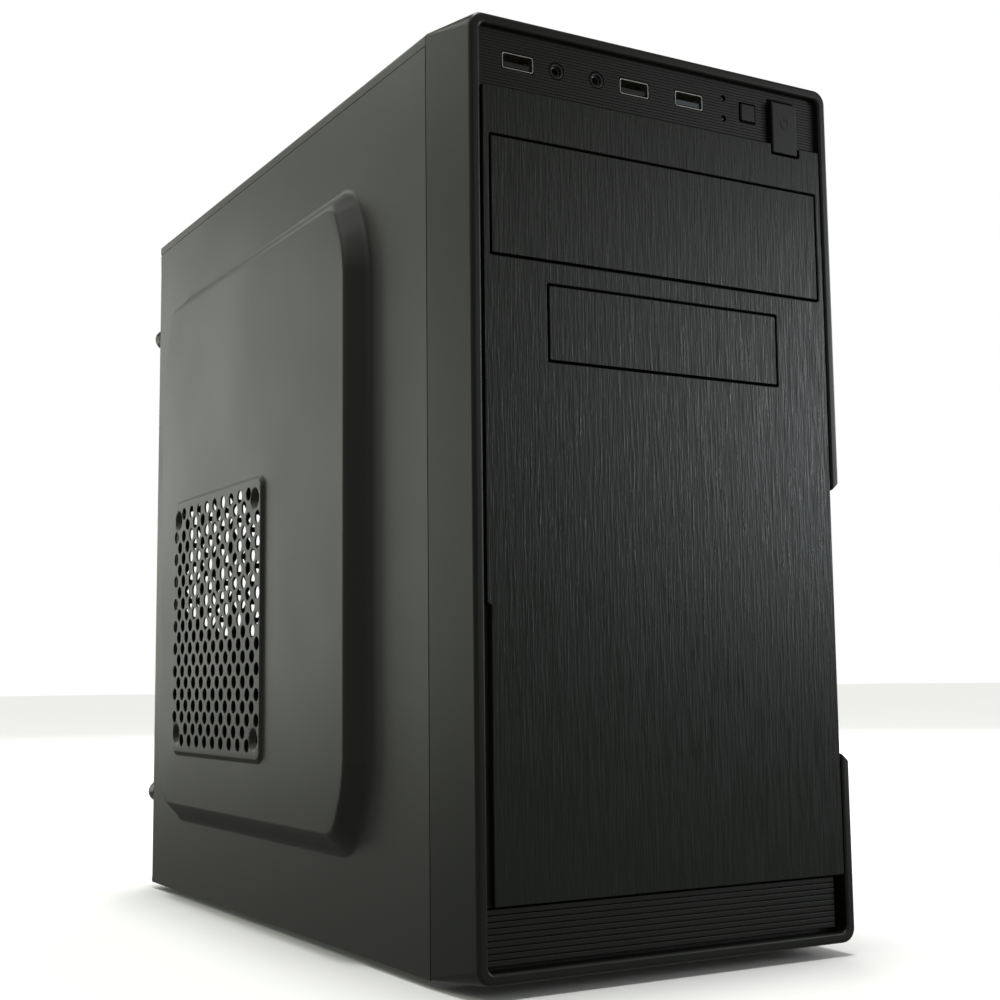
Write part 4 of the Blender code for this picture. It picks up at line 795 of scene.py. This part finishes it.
# Hairline-brushed dark lacquer: vertical scratches about 0.4 mm apart, drawn a little
# coarser than real so that they show, with longer faint bands and a cool tint.
brushed, brushed_shader = new_material("hairline_brushed_lacquer")
here = add_node(brushed, "ShaderNodeTexCoord").outputs["Object"]
fine_map = add_node(brushed, "ShaderNodeMapping", {"Vector": here,
                    "Scale": (1 / (0.85 * MM), 1 / (4 * MM), 1 / (14 * MM))})
band_map = add_node(brushed, "ShaderNodeMapping", {"Vector": here,
                    "Scale": (1 / (2.2 * MM), 1 / (20 * MM), 1 / (24 * MM))})
fine = add_node(brushed, "ShaderNodeTexNoise", {"Vector": fine_map.outputs["Vector"], "Scale": 1.0,
                "Detail": 3.0, "Roughness": 0.6})
bands = add_node(brushed, "ShaderNodeTexNoise", {"Vector": band_map.outputs["Vector"], "Scale": 1.0,
                 "Detail": 2.0})
both = add_node(brushed, "ShaderNodeMath", {0: fine.outputs["Fac"], 1: bands.outputs["Fac"]},
                operation="ADD")
streak = add_node(brushed, "ShaderNodeMapRange", {"Value": both.outputs["Value"], "From Min": 0.7,
                  "From Max": 1.3})
brushed_tone = add_node(brushed, "ShaderNodeMixRGB", {"Fac": streak.outputs["Result"],
                        "Color1": linear("171A15"), "Color2": linear("2A2E2B")})
brushed_gloss = add_node(brushed, "ShaderNodeMapRange", {"Value": streak.outputs["Result"],
                         "To Min": 0.45, "To Max": 0.20})
brushed_bump = add_node(brushed, "ShaderNodeBump", {"Height": fine.outputs["Fac"], "Strength": 0.9,
                        "Distance": 0.16 * MM})
join(brushed, brushed_tone.outputs["Color"], brushed_shader, "Base Color")
join(brushed, brushed_gloss.outputs["Result"], brushed_shader, "Roughness")
join(brushed, brushed_bump.outputs["Normal"], brushed_shader, "Normal")
brushed_shader.inputs["Metallic"].default_value = 0.15
dress(face_plate, brushed, "brushed_face", "chassis", "face_plate")

# ---- Bay covers ----------------------------------------------------------------------
# Blank covers snapped into the wide and the narrow bay: shallow trays, open behind, with
# the same brushing as the plate round them and a snap tab at each end.
COVER_WALL = 1.8 * MM
TAB = (2.0 * MM, 3.0 * MM, 8.0 * MM)
for name in ("large_bay_cover", "small_bay_cover"):
    low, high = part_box(name)
    cover = slab(f"{name}_tray", low, high, 0.5 * MM)
    cut(cover, block("hollow", (low.x + COVER_WALL, low.y + COVER_WALL, low.z + COVER_WALL),
                     (high.x - COVER_WALL, high.y + MM, high.z - COVER_WALL)))
    for x in (low.x + COVER_WALL, high.x - COVER_WALL - TAB[0]):
        z = (low.z + high.z - TAB[2]) / 2
        cut(cover, block("tab", (x, high.y - TAB[1], z), (x + TAB[0], high.y - 0.2 * MM, z + TAB[2])),
            operation="UNION")
    soften(cover, 0.35 * MM, 2)
    dress(cover, brushed, "brushed_face", name, name)

# ---- Power and reset buttons ---------------------------------------------------------
# Moulded ABS caps behind the strip, each with a ledge that holds it in and a stem to its
# switch. The long power button laps over the brushed plate and slopes back at its top.
LEDGE = 1.1 * MM
LEDGE_T = 1.4 * MM
for name, slope in (("power_button", 1.1 * MM), ("reset_button", 0.0)):
    low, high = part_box(name)
    cap = slab(f"{name}_cap", (low.x + LEDGE, low.y, low.z + LEDGE),
               (high.x - LEDGE, floor_back + 0.4 * MM, high.z - LEDGE), 0.7 * MM)
    if slope:
        choose(cap, "VERT", lambda p: near(p.y, low.y) and p.z > high.z - LEDGE - 2 * MM)
        bpy.ops.transform.translate(value=(0, 0, -slope))
    choose(cap, "EDGE", lambda p: near(p.y, low.y))
    bpy.ops.mesh.bevel(offset=0.55 * MM, segments=4)
    middle = (low + high) / 2
    ledge = block("ledge", (low.x, floor_back + 0.3 * MM, low.z),
                  (high.x, floor_back + 0.3 * MM + LEDGE_T, high.z))
    stem = block("stem", (middle.x - 1.5 * MM, floor_back + LEDGE_T, middle.z - 1.5 * MM),
                 (middle.x + 1.5 * MM, high.y, middle.z + 1.5 * MM))
    button = merge([cap, ledge, stem], f"{name}_moulding")
    shade(button)
    dress(button, abs_plastic, "bezel_plastic", name, name)

# A faint ring and bar, the usual sign for power, printed in dark grey on the cap.
power_low, power_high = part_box("power_button")
MARK_R = 1.9 * MM
MARK_LINE_R = 0.17 * MM
mark_at = Vector(((power_low.x + power_high.x) / 2, power_low.y,
                  (power_low.z + power_high.z) / 2 + 1.5 * MM))
clear_selection()
bpy.ops.mesh.primitive_torus_add(location=mark_at, rotation=(math.pi / 2, 0, 0), major_radius=MARK_R,
                                 minor_radius=MARK_LINE_R, major_segments=48, minor_segments=8)
ring = bpy.context.object
bpy.ops.object.transform_apply(location=True, rotation=True, scale=True)
cut(ring, block("gap", (mark_at.x - 0.7 * MM, mark_at.y - MM, mark_at.z + MM),
                (mark_at.x + 0.7 * MM, mark_at.y + MM, mark_at.z + 3 * MM)))
bar = rod("bar", (mark_at.x, mark_at.y, mark_at.z + 1.6 * MM), MARK_LINE_R, 2.0 * MM, 8, "Z")
power_mark = merge([ring, bar], "power_mark")
shade(power_mark)
ink = flecked("grey_pad_print", 0.4 * MM, "232524", "2C2E2D", 0.55)[0]
dress(power_mark, ink, "bezel_plastic", "power_button")

# ---- Front sockets -------------------------------------------------------------------
# Three USB sockets: a nickel-plated folded shell with a rolled mouth, and a moulded tongue
# with four sprung contacts. Two audio jacks: a glossy collar round a plated sleeve.
nickel, nickel_shader = new_material("bright_nickel_plate")
here = add_node(nickel, "ShaderNodeTexCoord").outputs["Object"]
draw_map = add_node(nickel, "ShaderNodeMapping", {"Vector": here,
                    "Scale": (1 / (3 * MM), 1 / (0.2 * MM), 1 / (0.3 * MM))})
drawn = add_node(nickel, "ShaderNodeTexNoise", {"Vector": draw_map.outputs["Vector"], "Scale": 1.0,
                 "Detail": 2.0})
nickel_tone = add_node(nickel, "ShaderNodeMixRGB", {"Fac": drawn.outputs["Fac"],
                       "Color1": linear("B0AFAB"), "Color2": linear("C6C5C1")})
nickel_gloss = add_node(nickel, "ShaderNodeMapRange", {"Value": drawn.outputs["Fac"],
                        "To Min": 0.34, "To Max": 0.50})
join(nickel, nickel_tone.outputs["Color"], nickel_shader, "Base Color")
join(nickel, nickel_gloss.outputs["Result"], nickel_shader, "Roughness")
nickel_shader.inputs["Metallic"].default_value = 1.0

# Dark nylon: the sockets' and fans' moulding plastic, smoother than the bezel's ABS.
nylon = flecked("dark_glass_filled_nylon", 0.6 * MM, "151616", "202122", (0.34, 0.50), 5.0)[0]

# The third socket's tongue is moulded in a cool grey instead of black.
grey_nylon = flecked("blue_grey_nylon", 0.6 * MM, "565B66", "666B76", 0.4)[0]

# Gold flash on the contacts: warm and smooth, a little duller where plugs rub.
gold = flecked("gold_flash", 0.5 * MM, "C9A24F", "E0BE70", 0.28, metallic=1.0)[0]

SHELL_T = 0.42 * MM
TONGUE_W = 10.9 * MM
TONGUE_T = 1.9 * MM
PIN_PITCH = 2.3 * MM
PIN_W = 1.0 * MM
JACK_BORE_R = 1.85 * MM
SLEEVE_BORE_R = 1.6 * MM
for i in (1, 2, 3):
    low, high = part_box(f"front_usb_port_{i}")
    middle = (low + high) / 2
    shell = slab(f"usb_shell_{i}", low, high, 0.8 * MM)
    cut(shell, slab("mouth", (low.x + SHELL_T, low.y - MM, low.z + SHELL_T),
                    (high.x - SHELL_T, high.y - SHELL_T, high.z - SHELL_T), 0.5 * MM))
    soften(shell, 0.12 * MM, 2)
    dress(shell, nickel, "socket_shell", "chassis", f"front_usb_port_{i}")
    tongue_low = middle.z - TONGUE_T - 0.1 * MM
    tongue = block(f"usb_tongue_{i}", (middle.x - TONGUE_W / 2, low.y + 0.7 * MM, tongue_low),
                   (middle.x + TONGUE_W / 2, high.y - SHELL_T, tongue_low + TONGUE_T))
    soften(tongue, 0.2 * MM, 2)
    dress(tongue, grey_nylon if i == 3 else nylon, "dark_plastic", "chassis")
    pins = [block("pin", (middle.x + (k - 1.5) * PIN_PITCH - PIN_W / 2, low.y + 1.6 * MM,
                          tongue_low + TONGUE_T - 0.1 * MM),
                  (middle.x + (k - 1.5) * PIN_PITCH + PIN_W / 2, high.y - MM,
                   tongue_low + TONGUE_T + 0.12 * MM)) for k in range(4)]
    contacts = merge(pins, f"usb_contacts_{i}")
    soften(contacts, 0.08 * MM, 2)
    dress(contacts, gold, "socket_shell", "chassis")
for name in ("front_headphone_jack", "front_microphone_jack"):
    low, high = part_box(name)
    middle = (low + high) / 2
    radius = (high.x - low.x) / 2
    collar = rod(f"{name}_collar", (middle.x, (low.y + high.y) / 2, middle.z), radius,
                 high.y - low.y, 48)
    cut(collar, rod("bore", (middle.x, middle.y - MM, middle.z), JACK_BORE_R, high.y - low.y, 32))
    soften(collar, 0.45 * MM, 4)
    sleeve = rod(f"{name}_sleeve", (middle.x, middle.y + 0.4 * MM, middle.z), 1.84 * MM,
                 high.y - low.y - 1.6 * MM, 32)
    cut(sleeve, rod("bore", (middle.x, middle.y - MM, middle.z), SLEEVE_BORE_R, high.y - low.y, 32))
    soften(sleeve, 0.08 * MM, 2)
    dress(collar, nylon, "dark_plastic", "chassis", name)
    dress(sleeve, nickel, "socket_shell", "chassis")

# The two light pipes: clear rods with domed ends that glint when unlit.
clear, clear_shader, *_ = flecked("clear_polycarbonate", 0.8 * MM, "3A3E40", "565C5E", 0.12)
clear_shader.inputs["IOR"].default_value = 1.58
for name in ("power_light_pipe", "drive_light_pipe"):
    low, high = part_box(name)
    middle = (low + high) / 2
    pipe = rod(f"{name}_rod", (middle.x, (low.y + high.y) / 2 + 0.5 * MM, middle.z),
               (high.x - low.x) / 2 - 0.05 * MM, high.y - low.y - MM, 24)
    choose(pipe, "EDGE", lambda p: p.y < low.y + 1.2 * MM)
    bpy.ops.mesh.bevel(offset=0.7 * MM, segments=5)
    shade(pipe)
    dress(pipe, clear, "light_pipe", "chassis", name)

# ---- Feet ----------------------------------------------------------------------------
# Stick-on rubber feet: round pads with a rolled edge and a shallow dish underneath.
rubber, rubber_shader, _, dust = flecked("black_moulded_rubber", 2.5 * MM, "161616", "262625",
                                         0.85, 6.0)
rubber_bump = add_node(rubber, "ShaderNodeBump", {"Height": dust.outputs["Fac"], "Strength": 0.2,
                       "Distance": 0.05 * MM})
join(rubber, rubber_bump.outputs["Normal"], rubber_shader, "Normal")
for row in ("front", "rear"):
    for side in ("left", "right"):
        name = f"foot_{row}_{side}"
        low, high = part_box(name)
        middle = (low + high) / 2
        foot = rod(f"{name}_pad", middle, (high.x - low.x) / 2, high.z - low.z, 48, "Z")
        choose(foot, "FACE", lambda p: near(p.z, low.z))
        bpy.ops.mesh.inset(thickness=2.2 * MM, depth=0)
        bpy.ops.mesh.inset(thickness=0.8 * MM, depth=-0.8 * MM)
        choose(foot, "EDGE", lambda p: near(p.z, low.z)
               and math.hypot(p.x - middle.x, p.y - middle.y) > (high.x - low.x) / 2 - MM)
        bpy.ops.mesh.bevel(offset=0.7 * MM, segments=4)
        shade(foot)
        dress(foot, rubber, "foot_rubber", "chassis", name)

# ---- What is carried over from the frame ---------------------------------------------
# The folded steel, boards, sockets and fans inside keep the frame's shapes. Each becomes a
# cleaned copy with its edges broken, as stamping, moulding and sawing leave them, and
# takes the finish of its record slot.
def soft_copy(node, width, name=None):
    """A merged and cleaned copy of a CAD node, in place, with its hard edges rounded."""
    source = frame["nodes"][node]
    shape = source.data.copy()
    shape.transform(source.matrix_world)
    piece = bpy.data.objects.new(name or f"{node}_finished", shape)
    bpy.context.scene.collection.objects.link(piece)
    outward(piece)
    choose(piece, "FACE", lambda p: True)
    bpy.ops.mesh.tris_convert_to_quads(face_threshold=math.radians(1), shape_threshold=math.pi)
    if width:
        soften(piece, width, 2, 50)
    return piece


slot_of = {part["node"]: part["material_slot"] for part in frame["record"]["subparts"]}

# Zinc-plated sheet: a pale grey plate with soft spangle and faint rolling lines.
zinc_sheet, sheet_shader = new_material("zinc_plated_sheet")
here = add_node(zinc_sheet, "ShaderNodeTexCoord").outputs["Object"]
spangle = add_node(zinc_sheet, "ShaderNodeTexVoronoi", {"Vector": here, "Scale": 1 / (7 * MM)})
stain = add_node(zinc_sheet, "ShaderNodeTexNoise", {"Vector": here, "Scale": 1 / (30 * MM), "Detail": 5.0})
sheet_tone = add_node(zinc_sheet, "ShaderNodeMixRGB", {"Fac": stain.outputs["Fac"],
                      "Color1": linear("8E9092"), "Color2": linear("A6A8A9")})
sheet_gloss = add_node(zinc_sheet, "ShaderNodeMapRange", {"Value": spangle.outputs["Distance"],
                       "To Min": 0.36, "To Max": 0.52})
join(zinc_sheet, sheet_tone.outputs["Color"], sheet_shader, "Base Color")
join(zinc_sheet, sheet_gloss.outputs["Result"], sheet_shader, "Roughness")
sheet_shader.inputs["Metallic"].default_value = 1.0

# Solder mask: deep green lacquer over copper tracks, which show as fine raised runs.
solder_mask, mask_shader = new_material("green_solder_mask")
here = add_node(solder_mask, "ShaderNodeTexCoord").outputs["Object"]
track_map = add_node(solder_mask, "ShaderNodeMapping", {"Vector": here,
                     "Rotation": (0, math.pi / 2, 0)})
tracks = add_node(solder_mask, "ShaderNodeTexBrick", {"Vector": track_map.outputs["Vector"],
                  "Scale": 1 / (9 * MM), "Mortar Size": 0.03, "Color1": linear("0D3B22"),
                  "Color2": linear("114A2C"), "Mortar": linear("1F6B40")})
track_bump = add_node(solder_mask, "ShaderNodeBump", {"Height": tracks.outputs["Fac"],
                      "Strength": 0.4, "Distance": 0.04 * MM})
join(solder_mask, tracks.outputs["Color"], mask_shader, "Base Color")
join(solder_mask, track_bump.outputs["Normal"], mask_shader, "Normal")
mask_shader.inputs["Roughness"].default_value = 0.32

# Extruded aluminium: bright, with fine drawing lines along the fins.
aluminium, aluminium_shader = new_material("extruded_aluminium")
here = add_node(aluminium, "ShaderNodeTexCoord").outputs["Object"]
die_map = add_node(aluminium, "ShaderNodeMapping", {"Vector": here,
                   "Scale": (1 / (0.4 * MM), 1 / (0.4 * MM), 1 / (30 * MM))})
die = add_node(aluminium, "ShaderNodeTexNoise", {"Vector": die_map.outputs["Vector"], "Scale": 1.0})
die_tone = add_node(aluminium, "ShaderNodeMixRGB", {"Fac": die.outputs["Fac"],
                    "Color1": linear("C2C4C6"), "Color2": linear("D6D7D9")})
die_gloss = add_node(aluminium, "ShaderNodeMapRange", {"Value": die.outputs["Fac"],
                     "To Min": 0.26, "To Max": 0.42})
join(aluminium, die_tone.outputs["Color"], aluminium_shader, "Base Color")
join(aluminium, die_gloss.outputs["Result"], aluminium_shader, "Roughness")
aluminium_shader.inputs["Metallic"].default_value = 1.0

# Cable sleeve: black braided jacket over PVC wires, with a fine diagonal weave.
braid, braid_shader = new_material("black_braided_sleeve")
here = add_node(braid, "ShaderNodeTexCoord").outputs["Object"]
weave = add_node(braid, "ShaderNodeTexChecker", {"Vector": here, "Scale": 1 / (0.9 * MM),
                 "Color1": linear("141415"), "Color2": linear("242425")})
weave_bump = add_node(braid, "ShaderNodeBump", {"Height": weave.outputs["Fac"], "Strength": 0.3,
                      "Distance": 0.1 * MM})
join(braid, weave.outputs["Color"], braid_shader, "Base Color")
join(braid, weave_bump.outputs["Normal"], braid_shader, "Normal")
braid_shader.inputs["Roughness"].default_value = 0.7

finish_of = {"painted_steel": powder, "bare_steel": zinc_sheet, "screw_steel": black_zinc,
             "bezel_plastic": abs_plastic, "dark_plastic": nylon, "socket_shell": nickel,
             "circuit_board": solder_mask, "bare_aluminium": aluminium, "cable_jacket": braid}


def carry(node, width, body="chassis"):
    """Show a CAD node as its soft copy, in the finish of its slot."""
    piece = soft_copy(node, width)
    dress(piece, finish_of[slot_of[node]], slot_of[node], body, node)
    return piece


# ---- Steel inside the shell ----------------------------------------------------------
# Pan, front frame, tray and cage are punched and folded from one gauge of plated sheet and
# riveted together; the rivet heads show along the sides of the cage.
for node in ("bottom_pan", "front_frame", "motherboard_tray", "drive_cage"):
    carry(node, 0.2 * MM)
RIVET_R = 2.4 * MM
cage_low, cage_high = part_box("drive_cage")
rivets = []
for side in (-1, 1):
    for share in (0.2, 0.5, 0.8):
        x = side * (cage_high.x - cage_low.x) / 2 + (cage_high.x + cage_low.x) / 2
        y = cage_low.y + share * (cage_high.y - cage_low.y)
        rivet = rod("rivet", (x, y, cage_high.z - 12 * MM), RIVET_R, 1.4 * MM, 20, "X")
        choose(rivet, "EDGE", lambda p: abs(p.x) > abs(x) + 0.5 * MM)
        bpy.ops.mesh.bevel(offset=0.5 * MM, segments=3)
        rivets.append(rivet)
cage_rivets = merge(rivets, "cage_rivets")
shade(cage_rivets)
dress(cage_rivets, aluminium, "bare_aluminium", "chassis")

# ---- Rear panel and slot covers ------------------------------------------------------
# The punched rear wall with its hexagonal field of fan holes, and the four folded slot
# covers. Four slotted hex-head screws with washers hold the supply.
carry("rear_panel", 0.15 * MM)
for i in (1, 2, 3, 4):
    carry(f"slot_cover_{i}", 0.2 * MM)
HEX_R = 3.4 * MM
HEX_H = 2.2 * MM
rear_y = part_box("rear_panel")[1].y
supply_low, supply_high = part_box("psu_case")
supply_middle = (supply_low.x + supply_high.x) / 2
supply_x = (supply_high.x - supply_low.x) / 2 - 5.0 * MM
screw_places = [(supply_middle + side * supply_x, z) for side in (-1, 1)
                for z in (supply_low.z + 18 * MM, supply_high.z - 14 * MM)]
for i, (x, z) in enumerate(screw_places):
    head = rod("head", (x, rear_y + HEX_H / 2 + 0.1 * MM, z), HEX_R, HEX_H, 6)
    washer = rod("washer", (x, rear_y + 0.4 * MM, z), HEX_R + 0.7 * MM, 0.6 * MM, 32)
    slot_cut = block("slot_cut", (x - HEX_R, rear_y + HEX_H - 0.9 * MM, z - 0.45 * MM),
                     (x + HEX_R, rear_y + HEX_H + MM, z + 0.45 * MM))
    cut(head, slot_cut)
    screw = merge([head, washer], f"rear_screw_{i + 1}")
    soften(screw, 0.2 * MM, 2)
    dress(screw, zinc_sheet, "bare_steel", "chassis")

# ---- Power supply --------------------------------------------------------------------
# A folded steel box with its own board, an 80 mm fan behind a welded wire guard, a mains
# inlet with three blades, and a rocker switch.
carry("psu_case", 0.3 * MM)
carry("psu_board", 0.3 * MM)
carry("psu_fan_frame", 0.4 * MM)
carry("psu_fan_rotor", 0.3 * MM, "psu_fan")
guard_low, guard_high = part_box("psu_fan_guard")
guard_at = (guard_low + guard_high) / 2
GUARD_RINGS = (12 * MM, 20 * MM, 28 * MM, 36 * MM)
EYE_R = 3.2 * MM
WIRE_R = 0.7 * MM
wires = []
for radius in GUARD_RINGS:
    clear_selection()
    bpy.ops.mesh.primitive_torus_add(location=guard_at, rotation=(math.pi / 2, 0, 0),
                                     major_radius=radius, minor_radius=WIRE_R,
                                     major_segments=72, minor_segments=10)
    wires.append(bpy.context.object)
    bpy.ops.object.transform_apply(location=True, rotation=True, scale=True)
for turn in (math.pi / 4, 3 * math.pi / 4, 5 * math.pi / 4, 7 * math.pi / 4):
    spoke = rod("spoke", (0, 0, (GUARD_RINGS[0] + GUARD_RINGS[3] + 4 * MM) / 2), WIRE_R,
                GUARD_RINGS[3] - GUARD_RINGS[0] + 6 * MM, 12, "Z")
    spoke.data.transform(Matrix.Translation(guard_at) @ Matrix.Rotation(turn, 4, "Y"))
    wires.append(spoke)
    eye = guard_at + Vector((math.sin(turn), 0, math.cos(turn))) * (GUARD_RINGS[3] + 8 * MM)
    clear_selection()
    bpy.ops.mesh.primitive_torus_add(location=eye, rotation=(math.pi / 2, 0, 0),
                                     major_radius=EYE_R, minor_radius=WIRE_R,
                                     major_segments=28, minor_segments=10)
    wires.append(bpy.context.object)
    bpy.ops.object.transform_apply(location=True, rotation=True, scale=True)
guard = merge(wires, "wire_guard")
shade(guard)
dress(guard, nickel, slot_of["psu_fan_guard"], "chassis", "psu_fan_guard")

carry("mains_inlet", 0.5 * MM)
inlet_low, inlet_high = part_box("mains_inlet")
inlet_at = (inlet_low + inlet_high) / 2
BLADE = (2.0 * MM, 12.0 * MM, 4.0 * MM)
blades = []
for dx, dz in ((-7.0, -2.0), (0.0, 2.0), (7.0, -2.0)):
    at = Vector((inlet_at.x + dx * MM, inlet_high.y - 9.5 * MM, inlet_at.z + dz * MM))
    half = Vector(BLADE) / 2
    blades.append(block("blade", at - half, at + half))
inlet_blades = merge(blades, "inlet_blades")
soften(inlet_blades, 0.3 * MM, 2)
dress(inlet_blades, nickel, "socket_shell", "chassis")

carry("psu_rocker", 0.6 * MM, "psu_rocker")

# ---- Motherboard and what stands on it -----------------------------------------------
# The board with its finned cooler and fan, two memory sockets, two expansion slots, the
# rear socket blocks behind the stamped shield, a row of capacitors and a few packaged
# chips, and the front port board with the two button switches.
carry("motherboard", 0.15 * MM)
carry("cpu_heatsink", 0.2 * MM)
carry("cpu_fan_frame", 0.4 * MM)
carry("cpu_fan_rotor", 0.3 * MM, "cpu_fan")
for node in ("memory_socket_1", "memory_socket_2", "expansion_slot_1", "expansion_slot_2",
             "power_switch", "reset_switch"):
    carry(node, 0.3 * MM)
carry("memory_module_1", 0.1 * MM)
carry("memory_module_2", 0.1 * MM)
carry("front_port_board", 0.15 * MM)
carry("io_shield", 0.1 * MM)
carry("usb_lan_sockets", 0.25 * MM)
carry("audio_sockets", 0.25 * MM)

# Socket tongues in the rear block, and the audio sockets' rings in their standard colours.
rear_mouths = {opening["name"]: [Vector(corner) for corner in opening["box_m"]]
               for opening in frame["record"]["physics"]["openings"]}
TONGUE_INSET = 3.5 * MM
for i in (1, 2, 3):
    low, high = rear_mouths[f"rear_usb_lan_socket_{i}"]
    z = (low.z + high.z) / 2
    tongue = block(f"rear_tongue_{i}", (low.x + TONGUE_INSET, low.y + 0.2 * MM, z - MM),
                   (high.x - TONGUE_INSET, high.y - 2.5 * MM, z + MM))
    soften(tongue, 0.25 * MM, 2)
    dress(tongue, nylon, "dark_plastic", "chassis")
for i, (name, dark, light) in enumerate((("pink", "B9506A", "C8607A"), ("green", "4E9A3C", "5FAA4C"),
                                         ("blue", "3E78B4", "4E88C4"))):
    tinted = flecked(f"{name}_moulded_nylon", 0.6 * MM, dark, light, 0.42)[0]
    low, high = rear_mouths[f"rear_audio_socket_{i + 1}"]
    middle = (low + high) / 2
    ring_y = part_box("audio_sockets")[1].y
    collar = rod(f"audio_ring_{name}", (middle.x, ring_y + 0.1 * MM, middle.z), 4.4 * MM, 1.2 * MM, 40)
    cut(collar, rod("bore", (middle.x, ring_y, middle.z), 2.9 * MM, 6 * MM, 32))
    soften(collar, 0.35 * MM, 3)
    dress(collar, tinted, "dark_plastic", "chassis")
board_low, board_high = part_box("motherboard")
cooler_low, cooler_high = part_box("cpu_heatsink")
CAP_R = 3.2 * MM
CAP_H = 9.0 * MM
cans = []
for i in range(7):
    at = (board_low.x - CAP_H / 2, cooler_high.y + 9 * MM, cooler_low.z + 6 * MM + i * 10 * MM)
    can = rod("can", at, CAP_R, CAP_H, 28, "X")
    choose(can, "EDGE", lambda p: near(p.x, board_low.x - CAP_H))
    bpy.ops.mesh.bevel(offset=0.5 * MM, segments=3)
    cans.append(can)
capacitors = merge(cans, "board_capacitors")
shade(capacitors)
dress(capacitors, aluminium, "bare_aluminium", "chassis")
chips = []
for y, z, size, tall in ((0.28, 0.36, 26, 5.0), (0.62, 0.20, 12, 1.4), (0.75, 0.40, 9, 1.4),
                         (0.20, 0.15, 8, 1.2), (0.45, 0.42, 7, 1.2)):
    y = board_low.y + y * (board_high.y - board_low.y)
    z = board_low.z + z * (board_high.z - board_low.z)
    half = size * MM / 2
    chips.append(block("chip", (board_low.x - tall * MM, y - half, z - half),
                       (board_low.x + 0.1 * MM, y + half, z + half)))
board_chips = merge(chips, "board_chips")
soften(board_chips, 0.25 * MM, 2)
dress(board_chips, nylon, "dark_plastic", "chassis")

# ---- Hard drive and cables -----------------------------------------------------------
# A cast aluminium drive in the narrow bay, and three sleeved cables that run from the
# supply, the drive and the front ports to the board.
carry("hard_drive", 0.8 * MM)
for node in ("main_power_cable", "drive_data_cable", "front_port_cable"):
    piece = soft_copy(node, 0)
    shade(piece, 60)
    dress(piece, braid, "cable_jacket", "chassis", node)
